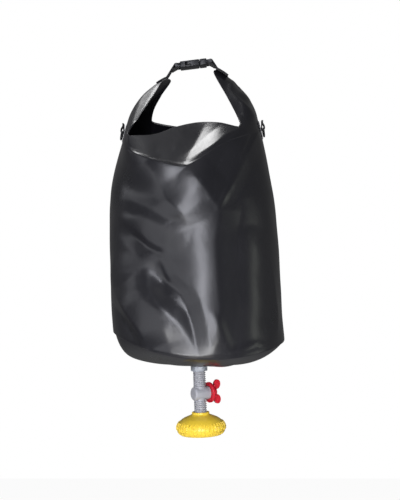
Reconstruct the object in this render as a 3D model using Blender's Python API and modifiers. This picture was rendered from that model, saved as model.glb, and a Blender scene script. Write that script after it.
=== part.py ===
"""Roll-top dry bag that hangs by its closed buckle and feeds a valve and shower head below.

Metres, +Z up, +X right, +Y to the back. The origin is the flat underside of the buckle,
where the bag hangs. Run with blender --background --python part.py.
"""

from math import atan2, cos, hypot, pi, radians, sin, sqrt

import bmesh
import bpy
import numpy as np
from mathutils import Vector

NAME = "dry_bag_with_shower"

# Clearances, how far joined bodies reach into each other and cutters past a face, and sheets
GAP = 0.0003
LAP = 0.001
BEYOND = 0.01
WALL = 0.0012
WEBBING = 0.0015
WEBBING_WIDTH = 0.025

# The bag
BASE_DIAMETER = 0.250
STEM_X = 0.0065
RIM_Z = -0.3945
RIM_SLOPE = -0.052
RIM_SAG = 0.021
BASE_Z = -0.436
BASE_FLAT_RADIUS = 0.022
BASE_SHARES = (0.0, 0.35, 0.65, 0.85, 0.95, 1.0)
BASE_FLANGE_ROW = 0.22
COLUMNS = 60
BODY_ROWS = 14
MOUTH_ROWS = 8
LIP_BAND = 0.0008
LIP_BAND_ROWS = (9.95, 10.85)
BAND_INSET = 3
NORMAL_SPREAD = (-0.03, -0.015, 0.0, 0.015, 0.03)

# Sections of the bag, from low to high: height, left, right, half depth, dip in front and behind
SECTIONS = (
    (-0.361, -0.1210, 0.1280, 0.119, 0.0),
    (-0.324, -0.1220, 0.1260, 0.114, 0.0),
    (-0.283, -0.1230, 0.1240, 0.110, 0.0),
    (-0.240, -0.1240, 0.1210, 0.108, 0.004),
    (-0.200, -0.1230, 0.1170, 0.107, 0.014),
    (-0.163, -0.1190, 0.1110, 0.105, 0.028),
)

# The fold below the mouth, front from left to right and back from right to left
FRONT_FOLD = (
    (-0.1015, -0.008, -0.098),
    (-0.1015, -0.036, -0.110),
    (-0.099, -0.062, -0.122),
    (-0.089, -0.081, -0.131),
    (-0.068, -0.093, -0.140),
    (-0.043, -0.099, -0.149),
    (-0.014, -0.103, -0.154),
    (0.009, -0.099, -0.142),
    (0.029, -0.091, -0.128),
    (0.051, -0.080, -0.116),
    (0.073, -0.064, -0.108),
    (0.090, -0.038, -0.100),
    (0.096, -0.009, -0.093),
)
BACK_FOLD = (
    (0.096, 0.009, -0.093),
    (0.093, 0.038, -0.096),
    (0.080, 0.064, -0.100),
    (0.064, 0.082, -0.110),
    (0.046, 0.094, -0.118),
    (0.024, 0.101, -0.124),
    (0.000, 0.103, -0.126),
    (-0.024, 0.101, -0.124),
    (-0.046, 0.096, -0.119),
    (-0.067, 0.086, -0.112),
    (-0.085, 0.067, -0.104),
    (-0.098, 0.040, -0.101),
    (-0.1015, 0.008, -0.098),
)
# The lip rises at both ends into ears that carry the buckle straps
FRONT_LIP = (
    (-0.046, -0.011, -0.021),
    (-0.058, -0.029, -0.043),
    (-0.077, -0.048, -0.074),
    (-0.089, -0.064, -0.097),
    (-0.076, -0.071, -0.108),
    (-0.052, -0.067, -0.105),
    (-0.025, -0.057, -0.094),
    (0.006, -0.051, -0.087),
    (0.035, -0.056, -0.088),
    (0.058, -0.061, -0.089),
    (0.063, -0.050, -0.073),
    (0.046, -0.030, -0.043),
    (0.029, -0.011, -0.010),
)
BACK_LIP = (
    (0.040, 0.011, -0.007),
    (0.054, 0.029, -0.032),
    (0.067, 0.046, -0.059),
    (0.067, 0.060, -0.080),
    (0.045, 0.059, -0.085),
    (0.020, 0.056, -0.085),
    (-0.006, 0.057, -0.083),
    (-0.030, 0.061, -0.079),
    (-0.052, 0.063, -0.074),
    (-0.068, 0.059, -0.067),
    (-0.066, 0.045, -0.054),
    (-0.050, 0.028, -0.037),
    (-0.035, 0.011, -0.018),
)
# How far the ears bow outwards, by columns from the side fold, and which way
EAR_BOW = (0.012, 0.009, 0.004)
EAR_OUT = Vector((0.8, 0.0, 0.6))
EAR_STEPS = (0.3, 0.6, 0.85)

# Creases of the hanging bag: how far the cloth stands out or in, reach to the left and to the
# right of a line down the bag, and that line as x and z; they fade out over rows and at the sides
FRONT_CREASES = (
    (0.008, 0.055, 0.037, ((-0.006, -0.158), (0.020, -0.206), (0.025, -0.308), (0.012, -0.405))),
    (-0.0045, 0.014, 0.014, ((-0.101, -0.234), (-0.056, -0.277), (-0.048, -0.300), (0.003, -0.398))),
    (0.004, 0.020, 0.018, ((-0.104, -0.328), (-0.081, -0.337), (-0.047, -0.361), (0.005, -0.410))),
)
BACK_CREASES = (
    (0.006, 0.053, 0.047, ((-0.020, -0.120), (-0.014, -0.190), (-0.030, -0.287), (-0.011, -0.418))),
    (-0.004, 0.022, 0.019, ((0.068, -0.143), (0.049, -0.202), (0.014, -0.253))),
    (0.0035, 0.019, 0.025, ((0.106, -0.268), (0.071, -0.325), (0.030, -0.394))),
)
CREASE_POINT = 1.5
CREASE_TAPER = 0.036
CREASE_ROWS = (0.5, 1.2, 6.3, 7.0)
CREASE_SIDES = (0.020, 0.070)

# Side tabs, in rows up the bag and columns to each side of the fold
PATCH = 0.0008
PATCH_ROWS = (6.78, 7.35)
PATCH_COLUMNS = 0.6
TAB_WIDTH = 0.018
TAB_WEBBING = 0.001
TAB_SETTLE = 0.010
TAB_TAIL = 0.012
RING_WIRE = 0.0012
RING_RADIUS = 0.0115
RING_ROW = 7.02
RING_REST_ROW = 6.78

# Buckle, in its own frame with X along the webbing and Z up from the flat underside
BUCKLE_TILT = radians(-7)
BUCKLE_WIDTH = 0.030
BUCKLE_HEIGHT = 0.009
BUCKLE_WALL = 0.0022
FEMALE_LEFT, FEMALE_RIGHT = -0.028, 0.0078
CAVITY_DEPTH = 0.0215
CAVITY_HEIGHT = 0.0054
MALE_LEFT, MALE_RIGHT = 0.0081, 0.026
BAR_RADIUS = 0.0018
STRAP_SLOT = 0.0038
RAIL = 0.002
RAIL_HEIGHT = 0.005
MALE_BLOCK = 0.0104
PRONG_THICKNESS = 0.0022
PRONG_HEIGHT = 0.0048
PRONG_PLAY = 0.0005
PRONG_TIP = -0.012
BARB_PROUD = 0.0018
BARB_LENGTH = 0.0085
BARB_NOSE = 0.0025
WINDOW_PLAY = 0.0015
BUCKLE_EDGE = 0.0012
TONGUE_WIDTH = 0.006
TONGUE_TIP = -0.008
LOOP_SETTLE = 0.0075
LOOP_TAIL = 0.0015

# Rows of the ears that the stitched ends of the straps cover, and how far off their curve
STRAP_ROWS = (10.85, 9.95)
STRAP_EASE = 0.0007

# Stem, in its own frame at the hole in the base, tilted as the base hangs
STEM_TILT = radians(-2)
THREAD_ROOT = 0.0077
THREAD_CREST = 0.0093
THREAD_PITCH = 0.003
THREAD_STEPS = 12
WATER_BORE = 0.005
STEM_TOP = 0.0145
GASKET = 0.002
GASKET_RADIUS = 0.0133
INNER_FLANGE_RADIUS = 0.017
INNER_FLANGE = 0.003
INNER_NUT_HEX = 0.0062
NUT_ACROSS_CORNERS = 0.025
LOCK_NUT_HEIGHT = 0.0074
NUT_EDGE = 0.0006

# Valve
BARREL_Z = -0.043
BARREL_TURN = radians(30)
BARREL_RADIUS = 0.0099
BARREL_CLOSED, BARREL_OPEN = -0.0115, 0.014
BARREL_DOME = 0.0025
PLUG_RADIUS = 0.0067
PLUG_END = -0.0077
PLUG_BORE = 0.0042
RING_SEAT = 0.0061
RING_GROOVE_DEPTH = 0.0019
RING_GROOVE_WIDTH = 0.0022
RING_SHIFT = 0.003
O_RING_SECTION = 0.0009
DRIVE_SIDE = 0.007
DRIVE_END = 0.0205
HANDLE_DISC_RADIUS = 0.0152
HANDLE_DISC = 0.0034
HANDLE_PLAY = 0.0005
DISC_EDGE = 0.0006
HANDLE_HUB_RADIUS = 0.0072
WING_THICKNESS = 0.004
WING_TIP = 0.0345
WING_LOBE_HEIGHT = 0.0108
WING_LOBE = (0.0056, 0.0072)
WING_LEAN = radians(12)
SCREW_HEAD_RADIUS = 0.0035
SCREW_HEAD = 0.0018
SCREW_RADIUS = 0.0014
SCREW_LENGTH = 0.008
HUB_FLOOR = 0.0015
HUB_RIM = 0.0015
WING_WEB = 0.009
WEB_THICKNESS = 0.0036
WEB_PROUD = 0.0012

# Shower head
HEAD_TOP = -0.070
HEAD_RADIUS = 0.0363
HEAD_HEIGHT = 0.033
HEAD_WALL = 0.002
HEAD_LIP = 0.0012
COLLAR_RADIUS = 0.0129
COLLAR_WALL = 0.0025
COLLAR_DEPTH = 0.0125
COLLAR_FLOOR = 0.0025
WASHER = 0.002
STUB_BOTTOM = HEAD_TOP - COLLAR_DEPTH + WASHER + 2 * GAP
# The dome's side, in shares of the way from the collar's radius to the head's and of the height
HEAD_CURVE = (
    (0.0, 0.0),
    (0.0, 0.09),
    (0.32, 0.20),
    (0.65, 0.32),
    (0.86, 0.455),
    (0.98, 0.605),
    (1.0, 0.67),
    (0.96, 0.78),
    (0.85, 0.91),
)
RIBBED_ROWS = (4, 5)
RIBS = 40
RIB_DEPTH = 0.0009
ROSE_RADIUS = 0.0285
ROSE_THICKNESS = 0.0025
ROSE_HOLE = 0.0007
ROSE_RINGS = ((0.008, 6), (0.016, 12), (0.0235, 18))

BLACK_PVC = ((0.020, 0.020, 0.024), 0.35)
BLACK_WEBBING = ((0.025, 0.025, 0.028), 0.85)
BLACK_ACETAL = ((0.030, 0.031, 0.036), 0.40)
BLACK_RUBBER = ((0.020, 0.020, 0.020), 0.70)
GREY_PLASTIC = ((0.360, 0.365, 0.400), 0.45)
GREY_NUT = ((0.420, 0.450, 0.520), 0.40)
RED_PLASTIC = ((0.640, 0.025, 0.045), 0.35)
YELLOW_PLASTIC = ((0.880, 0.620, 0.050), 0.38)
WHITE_PLASTIC = ((0.620, 0.620, 0.600), 0.40)
STEEL = ((0.550, 0.550, 0.560), 0.30, 1.0)


def clear_scene():
    for thing in list(bpy.data.objects):
        bpy.data.objects.remove(thing, do_unlink=True)


def collection(name):
    made = bpy.data.collections.new(name)
    bpy.context.scene.collection.children.link(made)
    return made


def material(name, look):
    colour, roughness, *metallic = look
    made = bpy.data.materials.new(name)
    made.use_nodes = True
    shader = made.node_tree.nodes["Principled BSDF"]
    shader.inputs["Base Color"].default_value = (*colour, 1.0)
    shader.inputs["Roughness"].default_value = roughness
    shader.inputs["Metallic"].default_value = metallic[0] if metallic else 0.0
    return made


def empty(name, place, turn=(0, 0, 0), parent=None):
    made = bpy.data.objects.new(name, None)
    made.location = place
    made.rotation_euler = turn
    made.parent = parent
    PARTS.objects.link(made)
    return made


def part(name, mesh, look, parent=None, place=(0, 0, 0), turn=(0, 0, 0)):
    """A named sub-part with its own material."""
    made = bpy.data.objects.new(name, mesh)
    made.location = place
    made.rotation_euler = turn
    made.parent = parent
    mesh.materials.append(material(name, look))
    PARTS.objects.link(made)
    return made


def tool(name, mesh, parent=None, place=(0, 0, 0), turn=(0, 0, 0)):
    """A body that only cuts or joins others."""
    made = bpy.data.objects.new(name, mesh)
    made.location = place
    made.rotation_euler = turn
    made.parent = parent
    made.hide_render = True
    made.display_type = "WIRE"
    TOOLS.objects.link(made)
    return made


def cut(target, cutter, operation="DIFFERENCE"):
    modifier = target.modifiers.new(cutter.name, "BOOLEAN")
    modifier.object = cutter
    modifier.operation = operation
    modifier.solver = "EXACT"


def join(target, other):
    cut(target, other, "UNION")


def soften(target, width, segments=2, angle=radians(40)):
    bevel = target.modifiers.new("soften", "BEVEL")
    bevel.width = width
    bevel.segments = segments
    bevel.limit_method = "ANGLE"
    bevel.angle_limit = angle
    bevel.use_clamp_overlap = True


def mesh_from(name, points, faces, smooth=True):
    made = bpy.data.meshes.new(name)
    made.from_pydata([tuple(p) for p in points], [], faces)
    made.validate()
    if smooth:
        made.shade_smooth()
        made.set_sharp_from_angle(angle=radians(35))
    return made


def box_mesh(name, low, high):
    """A box between two corners."""
    body = bmesh.new()
    bmesh.ops.create_cube(body, size=1.0)
    size = [b - a for a, b in zip(low, high)]
    bmesh.ops.scale(body, vec=size, verts=body.verts)
    middle = [(a + b) / 2 for a, b in zip(low, high)]
    bmesh.ops.translate(body, vec=middle, verts=body.verts)
    made = bpy.data.meshes.new(name)
    body.to_mesh(made)
    body.free()
    return made


def rod_mesh(name, radius, low, high, steps=24, axis="Z"):
    """A cylinder along Z, X or Y, from low to high on that axis."""
    body = bmesh.new()
    bmesh.ops.create_cone(
        body, cap_ends=True, segments=steps, radius1=radius, radius2=radius, depth=high - low
    )
    bmesh.ops.translate(body, vec=(0, 0, (low + high) / 2), verts=body.verts)
    for vertex in body.verts:
        x, y, z = vertex.co
        if axis == "X":
            vertex.co = (z, x, y)
        elif axis == "Y":
            vertex.co = (y, z, x)
    made = bpy.data.meshes.new(name)
    body.to_mesh(made)
    body.free()
    made.shade_smooth()
    made.set_sharp_from_angle(angle=radians(35))
    return made


def prism_mesh(name, outline, low, high, axis="Z"):
    """An outline in the plane across an axis, drawn out from low to high along it."""
    count = len(outline)
    points = []
    for level in (low, high):
        for a, b in outline:
            points.append({"Z": (a, b, level), "Y": (a, level, b)}[axis])
    faces = [tuple(range(count)), tuple(range(2 * count - 1, count - 1, -1))]
    for i in range(count):
        j = (i + 1) % count
        faces.append((i, i + count, j + count, j))
    made = mesh_from(name, points, faces, smooth=False)
    body = bmesh.new()
    body.from_mesh(made)
    bmesh.ops.recalc_face_normals(body, faces=body.faces)
    body.to_mesh(made)
    body.free()
    return made


def turned(name, profile, look, parent=None, steps=32, place=(0, 0, 0), turn=(0, 0, 0)):
    """A closed (radius, height) profile turned round the local Z axis."""
    count = len(profile)
    outline = bpy.data.meshes.new(name)
    outline.from_pydata([(r, 0, z) for r, z in profile], [(i, (i + 1) % count) for i in range(count)], [])
    made = part(name, outline, look, parent, place, turn)
    spin(made, steps)
    return made


def hex_prism(name, across_corners, low, high):
    radius = across_corners / 2
    outline = [(radius * cos(k * pi / 3), radius * sin(k * pi / 3)) for k in range(6)]
    return prism_mesh(name, outline, low, high)


def catmull(points, at, closed):
    """Points on the smooth curve through rows of points, at the given row numbers."""
    count = len(points)
    start = np.floor(at).astype(int)
    if not closed:
        start = np.clip(start, 0, count - 2)
    t = (at - start)[:, None, None]
    rows = [start + k for k in (-1, 0, 1, 2)]
    rows = [r % count if closed else np.clip(r, 0, count - 1) for r in rows]
    a, b, c, d = (points[r] for r in rows)
    return 0.5 * (
        2 * b + (c - a) * t + (2 * a - 5 * b + 4 * c - d) * t**2 + (3 * b - a - 3 * c + d) * t**3
    )


def rim_height(x, y):
    """The lower edge of the wall: higher at the sides, which the straps pull, and sagging between."""
    radius = BASE_DIAMETER / 2
    return RIM_Z + RIM_SLOPE * (x - STEM_X) - RIM_SAG * (y / radius) ** 2


def wall_cage():
    """Rows of points round the bag from the rim to the lip, back from right to left, then front."""
    per_side = len(FRONT_LIP)
    angles = [(k + 0.5) * pi / per_side for k in range(2 * per_side)]
    radius = BASE_DIAMETER / 2
    rim = []
    for angle in angles:
        x, y = STEM_X + radius * cos(angle), radius * sin(angle)
        rim.append((x, y, rim_height(x, y)))
    rows = [rim]
    for height, left, right, depth, dip in SECTIONS:
        middle, half = (left + right) / 2, (right - left) / 2
        rows.append(
            [
                (middle + half * cos(a), depth * sin(a), height - dip * sin(a) ** 2)
                for a in angles
            ]
        )
    fold = np.array(BACK_FOLD + FRONT_FOLD)
    lip = np.array(BACK_LIP + FRONT_LIP)
    rows.append(fold)
    for t in EAR_STEPS:
        row = fold + (lip - fold) * t
        for side, sign in ((0, 1), (per_side, -1)):
            for step, bow in enumerate(EAR_BOW):
                out = np.array((sign * EAR_OUT.x, 0, EAR_OUT.z)) * bow * 4 * t * (1 - t)
                row[(side + step) % (2 * per_side)] += out
                row[(side - 1 - step) % (2 * per_side)] += out
        rows.append(row)
    rows.append(lip)
    return np.array([np.array(row) for row in rows])


def crease_lift(points, creases):
    """How far creases move points of the bag's wall out of it."""
    x, z = points[..., 0], points[..., 2]
    lift = np.zeros_like(x)
    for height, left, right, line in creases:
        away = np.full_like(x, np.inf)
        reach, run = np.ones_like(x), np.zeros_like(x)
        length = 0
        for (ax, az), (bx, bz) in zip(line, line[1:]):
            span = hypot(bx - ax, bz - az)
            tx, tz = (bx - ax) / span, (bz - az) / span
            along = np.clip((x - ax) * tx + (z - az) * tz, 0, span)
            here = np.hypot(x - ax - tx * along, z - az - tz * along)
            nearer = here < away
            on_right = tx * (z - az) - tz * (x - ax) > 0
            away = np.where(nearer, here, away)
            reach = np.where(nearer, np.where(on_right, right, left), reach)
            run = np.where(nearer, length + along, run)
            length += span
        ends = np.clip(np.minimum(run, length - run) / CREASE_TAPER, 0, 1)
        lift += height * ends * np.clip(1 - away / reach, 0, 1) ** CREASE_POINT
    return lift


def wall_points(across, up):
    """Points of the bag's middle surface: across in 0 to 1 round it, up in 0 to 1 to the lip."""
    rows = np.asarray(up) * (len(CAGE) - 1)
    levels = catmull(CAGE, rows, closed=False)
    columns = levels.transpose(1, 0, 2)
    points = catmull(columns, np.asarray(across) * CAGE.shape[1], closed=True).transpose(1, 0, 2)
    y = points[..., 1].copy()
    share = np.interp(rows, CREASE_ROWS, (0, 1, 1, 0))[:, None] * np.interp(abs(y), CREASE_SIDES, (0, 1))
    lift = np.where(y < 0, crease_lift(points, FRONT_CREASES), crease_lift(points, BACK_CREASES))
    points[..., 1] += np.sign(y) * share * lift
    return points


def wall_normals(across, up):
    """Directions out of the bag, averaged over a stretch so that they turn slowly at corners."""
    across, up = np.asarray(across), np.asarray(up)
    step = 0.008
    high, low = np.minimum(up + step, 1), np.maximum(up - step, 0)
    total = 0
    for shift in NORMAL_SPREAD:
        place = across + shift
        along = wall_points(place + step, up) - wall_points(place - step, up)
        rise = wall_points(place, high) - wall_points(place, low)
        normals = np.cross(along, rise)
        total = total + normals / np.linalg.norm(normals, axis=2, keepdims=True)
    return total / np.linalg.norm(total, axis=2, keepdims=True)


def sheet_mesh(name, across, up, near, far, closed):
    """A sheet that follows the bag's surface, between two distances out from it."""
    middle, normals = wall_points(across, up), wall_normals(across, up)
    rows, columns = middle.shape[:2]
    points = np.concatenate(
        [(middle + normals * far).reshape(-1, 3), (middle + normals * near).reshape(-1, 3)]
    )
    inner = rows * columns
    faces = []
    spans = columns if closed else columns - 1
    for i in range(rows - 1):
        for j in range(spans):
            k = (j + 1) % columns
            a, b = i * columns + j, i * columns + k
            c, d = b + columns, a + columns
            for one, two, three in ((a, b, c), (a, c, d)):
                faces.append((one, two, three))
                faces.append((three + inner, two + inner, one + inner))
    for j in range(spans):
        k = (j + 1) % columns
        top = (rows - 1) * columns
        faces.append((k, j, j + inner, k + inner))
        faces.append((top + j, top + k, top + k + inner, top + j + inner))
    if not closed:
        last = columns - 1
        for i in range(rows - 1):
            a, b = i * columns, (i + 1) * columns
            faces.append((a, b, b + inner, a + inner))
            faces.append((b + last, a + last, a + last + inner, b + last + inner))
    return mesh_from(name, points, faces)


def make_bag():
    rows = len(CAGE) - 1
    fold_row = len(SECTIONS) + 1
    up = np.concatenate(
        [
            np.linspace(0, fold_row, BODY_ROWS, endpoint=False),
            np.linspace(fold_row, LIP_BAND_ROWS[0], MOUTH_ROWS),
            (LIP_BAND_ROWS[1], rows),
        ]
    )
    wall = sheet_mesh("bag_wall", AROUND, up / rows, -WALL / 2, WALL / 2, True)
    part("bag_wall", wall, BLACK_PVC)


def inner_ring(row, depth):
    """A ring of points inside the wall at a row of the cage."""
    up = [row / (len(CAGE) - 1)]
    return (wall_points(AROUND, up) - wall_normals(AROUND, up) * depth)[0]


def base_drop(share):
    """How much of the rise from the flat centre to the rim is reached at a share of the way."""
    return 0.35 * share**2 + 0.65 * share**12


def base_ring(rim, share, lift):
    """A ring of the base, from the flat round the hole at share 0 to the rim at share 1."""
    ring = []
    for point in rim:
        angle = atan2(point[1], point[0] - STEM_X)
        x = STEM_X + BASE_FLAT_RADIUS * cos(angle)
        y = BASE_FLAT_RADIUS * sin(angle)
        z = BASE_Z + (x - STEM_X) * sin(-STEM_TILT)
        top = point[2] - lift
        ring.append(
            (
                x + (point[0] - x) * share,
                y + (point[1] - y) * share,
                z + (top - z) * base_drop(share) + lift,
            )
        )
    return ring


def hole_ring(rim, lift):
    """The edge of the hole that the stem passes through."""
    radius = THREAD_CREST + GAP
    ring = []
    for point in rim:
        angle = atan2(point[1], point[0] - STEM_X)
        rise = radius * cos(angle) * sin(-STEM_TILT)
        ring.append((STEM_X + radius * cos(angle), radius * sin(angle), BASE_Z + rise + lift))
    return ring


def make_base():
    """The sagging round base, with its welded flange turned up inside the wall."""
    near, far = WALL / 2 + GAP, WALL / 2 + GAP + WALL
    outer_rim, inner_rim = inner_ring(0, near), inner_ring(0, far)
    rows = [hole_ring(outer_rim, 0)]
    rows += [base_ring(outer_rim, share, 0) for share in BASE_SHARES]
    rows += [inner_ring(BASE_FLANGE_ROW, near), inner_ring(BASE_FLANGE_ROW, far)]
    rows += [base_ring(inner_rim, share, WALL) for share in reversed(BASE_SHARES)]
    rows.append(hole_ring(inner_rim, WALL))
    points = [point for row in rows for point in row]
    part("base_disc", mesh_from("base_disc", points, ring_faces(len(rows), COLUMNS)), BLACK_PVC)


def ring_faces(rows, columns):
    """Quads between rings of points, with the last ring joined to the first."""
    faces = []
    for i in range(rows):
        n = (i + 1) % rows
        for j in range(columns):
            k = (j + 1) % columns
            faces.append((i * columns + j, i * columns + k, n * columns + k, n * columns + j))
    return faces


def make_lip_bands():
    """Stiff strips inside the hem of the lip, one in front and one at the back."""
    inside = -(WALL / 2 + GAP)
    up = np.array(LIP_BAND_ROWS) / (len(CAGE) - 1)
    half = COLUMNS // 2
    for name, first in (("lip_band_back", 0), ("lip_band_front", half)):
        across = AROUND[first + BAND_INSET : first + half - BAND_INSET]
        sheet = sheet_mesh(name, across, up, inside - LIP_BAND, inside, False)
        part(name, sheet, BLACK_PVC)


def surface_frame(across, row, out):
    """A point out from the bag's surface, with the directions across it and away from it."""
    up = [row / (len(CAGE) - 1)]
    normal = Vector(wall_normals([across], up)[0, 0])
    point = Vector(wall_points([across], up)[0, 0]) + normal * out
    step = 0.004
    ahead = Vector(wall_points([across + step], up)[0, 0])
    behind = Vector(wall_points([across - step], up)[0, 0])
    return point, (ahead - behind).normalized(), normal


def ribbon_mesh(name, sections, width, thickness):
    """Webbing through sections, each a centre, a direction across and the way its face looks."""
    points = []
    for centre, across, normal in sections:
        for side, face in ((-1, -1), (1, -1), (1, 1), (-1, 1)):
            points.append(centre + across * side * width / 2 + normal * face * thickness / 2)
    faces = [(3, 2, 1, 0)]
    for i in range(len(sections) - 1):
        a, b = 4 * i, 4 * (i + 1)
        for j in range(4):
            k = (j + 1) % 4
            faces.append((a + j, a + k, b + k, b + j))
    last = 4 * (len(sections) - 1)
    faces.append((last, last + 1, last + 2, last + 3))
    return closed_outward(mesh_from(name, points, faces, smooth=False))


def closed_outward(mesh):
    """The same closed mesh with every face looking out."""
    body = bmesh.new()
    body.from_mesh(mesh)
    bmesh.ops.recalc_face_normals(body, faces=body.faces)
    body.to_mesh(mesh)
    body.free()
    return mesh


def wrap(centre, ahead, up, across, radius, thickness, settle, tail, steps=8):
    """Webbing sections over a bar and back under the run that leads ahead from it."""
    sections = []
    for k in range(steps + 1):
        angle = pi / 2 + k * pi / steps
        way = ahead * cos(angle) + up * sin(angle)
        sections.append((centre + way * radius, across, way))
    close = radius - thickness - GAP
    sections.append((centre + ahead * settle + up * close, across, -up))
    sections.append((centre + ahead * (settle + tail) + up * close, across, -up))
    return sections


def make_strap(name, side, bar):
    """Webbing from the stitched end on an ear, round a buckle bar and back under itself."""
    seat = WALL / 2 + STRAP_EASE + WEBBING / 2
    ear = [surface_frame(side, row, seat) for row in reversed(STRAP_ROWS)]
    toward = Vector((0, 1, 0)) if ear[-1][1].y > 0 else Vector((0, -1, 0))
    radius = BAR_RADIUS + GAP + WEBBING / 2
    up = Vector((0, 0, 0))
    for _ in range(3):
        ahead = ear[-1][0] - bar - up * radius
        ahead = Vector((ahead.x, 0, ahead.z)).normalized()
        up = Vector((-ahead.z, 0, ahead.x)) * (1 if ahead.x > 0 else -1)
    level = (bar + ahead * (LOOP_SETTLE + LOOP_TAIL) + up * radius, toward, up)
    loop = wrap(bar, ahead, up, toward, radius, WEBBING, LOOP_SETTLE, LOOP_TAIL)
    strap = ribbon_mesh(name, ear + [level] + loop, WEBBING_WIDTH, WEBBING)
    part(name, strap, BLACK_WEBBING)


def make_side_tab(word, side, sign):
    """A welded patch with a webbing loop, and the D-ring that hangs in it."""
    columns = 2 * len(FRONT_LIP)
    across = side + np.linspace(-PATCH_COLUMNS, PATCH_COLUMNS, 7) / columns
    up = np.linspace(*PATCH_ROWS, 5) / (len(CAGE) - 1)
    near = WALL / 2 + GAP
    patch = sheet_mesh("side_patch_" + word, across, up, near, near + PATCH, False)
    part("side_patch_" + word, patch, BLACK_PVC)

    turn = RING_WIRE + GAP + TAB_WEBBING / 2
    bar = surface_frame(side, RING_ROW, near + PATCH + GAP + TAB_WEBBING / 2 + turn)[0]
    out, up_way, toward = Vector((sign, 0, 0)), Vector((0, 0, 1)), Vector((0, sign, 0))
    inner_tail = (bar - out * turn + up_way * TAB_TAIL, toward, -out)
    tail = TAB_TAIL - TAB_SETTLE
    loop = wrap(bar, up_way, -out, toward, turn, TAB_WEBBING, TAB_SETTLE, tail)
    tab = ribbon_mesh("tab_loop_" + word, [inner_tail] + loop, TAB_WIDTH, TAB_WEBBING)
    part("tab_loop_" + word, tab, BLACK_WEBBING)
    low = surface_frame(side, RING_REST_ROW, near + PATCH + 2 * GAP + RING_WIRE)[0]
    hang = atan2(bar.x - low.x, bar.z - low.z)
    pivot = empty("ring_pivot_" + word, bar, (0, hang, 0))
    make_ring("d_ring_" + word, pivot)


def tube(name, points, radius, closed, parent=None, resolution=1):
    """A round wire along points, as a mesh."""
    curve = bpy.data.curves.new(name, "CURVE")
    curve.dimensions = "3D"
    curve.bevel_depth = radius
    curve.bevel_resolution = resolution
    curve.use_fill_caps = True
    line = curve.splines.new("POLY")
    line.points.add(len(points) - 1)
    for spot, point in zip(line.points, points):
        spot.co = (*point, 1)
    line.use_cyclic_u = closed
    made = bpy.data.objects.new(name, curve)
    made.parent = parent
    PARTS.objects.link(made)
    return made


def make_ring(name, pivot):
    """A D of wire: a straight bar through the loop and a half round below it."""
    points = [(0, -RING_RADIUS / 2, 0), (0, RING_RADIUS / 2, 0)]
    for k in range(13):
        angle = k * pi / 12
        points.append((0, RING_RADIUS * cos(angle), -RING_RADIUS * sin(angle)))
    ring = tube(name, points, RING_WIRE, True, pivot, resolution=2)
    ring.data.materials.append(material(name, BLACK_ACETAL))


def make_buckle():
    """A side-release buckle, its X along the webbing and its flat underside at Z = 0."""
    buckle = empty("buckle", (0, 0, 0), (0, BUCKLE_TILT, 0))
    half = BUCKLE_WIDTH / 2
    middle = BUCKLE_HEIGHT / 2
    female_bar = FEMALE_LEFT + BAR_RADIUS
    shell_left = female_bar + BAR_RADIUS + STRAP_SLOT
    low, high = (shell_left, -half, 0), (FEMALE_RIGHT, half, BUCKLE_HEIGHT)
    female = part("buckle_female", box_mesh("buckle_female", low, high), BLACK_ACETAL, buckle)
    soften(female, BUCKLE_EDGE)
    add_strap_bar(female, "female", female_bar, shell_left, buckle)
    inner = half - BUCKLE_WALL
    cavity_left = FEMALE_RIGHT - CAVITY_DEPTH
    cavity = box_mesh(
        "cavity",
        (cavity_left, -inner, middle - CAVITY_HEIGHT / 2),
        (FEMALE_RIGHT + BEYOND, inner, middle + CAVITY_HEIGHT / 2),
    )
    cut(female, tool("cavity", cavity, buckle))
    shoulder = PRONG_TIP + BARB_LENGTH + inner + BARB_PROUD + GAP * sqrt(2)
    window_left = PRONG_TIP - WINDOW_PLAY
    beyond = half + LAP
    for word, sign in (("front", -1), ("back", 1)):
        outline = [
            (window_left, sign * (inner - LAP)),
            (shoulder - inner + LAP, sign * (inner - LAP)),
            (shoulder - beyond, sign * beyond),
            (window_left, sign * beyond),
        ]
        window = prism_mesh(
            "window_" + word, outline, middle - CAVITY_HEIGHT / 2, middle + CAVITY_HEIGHT / 2
        )
        cut(female, tool("window_" + word, window, buckle))
        make_prong(word, sign, inner, buckle)

    block_right = MALE_LEFT + MALE_BLOCK
    low, high = (MALE_LEFT, -half, 0), (block_right, half, BUCKLE_HEIGHT)
    male = part("buckle_male", box_mesh("buckle_male", low, high), BLACK_ACETAL, buckle)
    soften(male, BUCKLE_EDGE)
    male_bar = MALE_RIGHT - BAR_RADIUS
    add_strap_bar(male, "male", male_bar, block_right, buckle)
    tongue = box_mesh(
        "tongue",
        (TONGUE_TIP, -TONGUE_WIDTH / 2, middle - PRONG_HEIGHT / 2),
        (MALE_LEFT + 2 * LAP, TONGUE_WIDTH / 2, middle + PRONG_HEIGHT / 2),
    )
    join(male, tool("tongue", tongue, buckle))
    tilt = Vector((cos(BUCKLE_TILT), 0, -sin(BUCKLE_TILT)))
    up = Vector((sin(BUCKLE_TILT), 0, cos(BUCKLE_TILT)))
    return tilt * female_bar + up * middle, tilt * male_bar + up * middle


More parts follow.
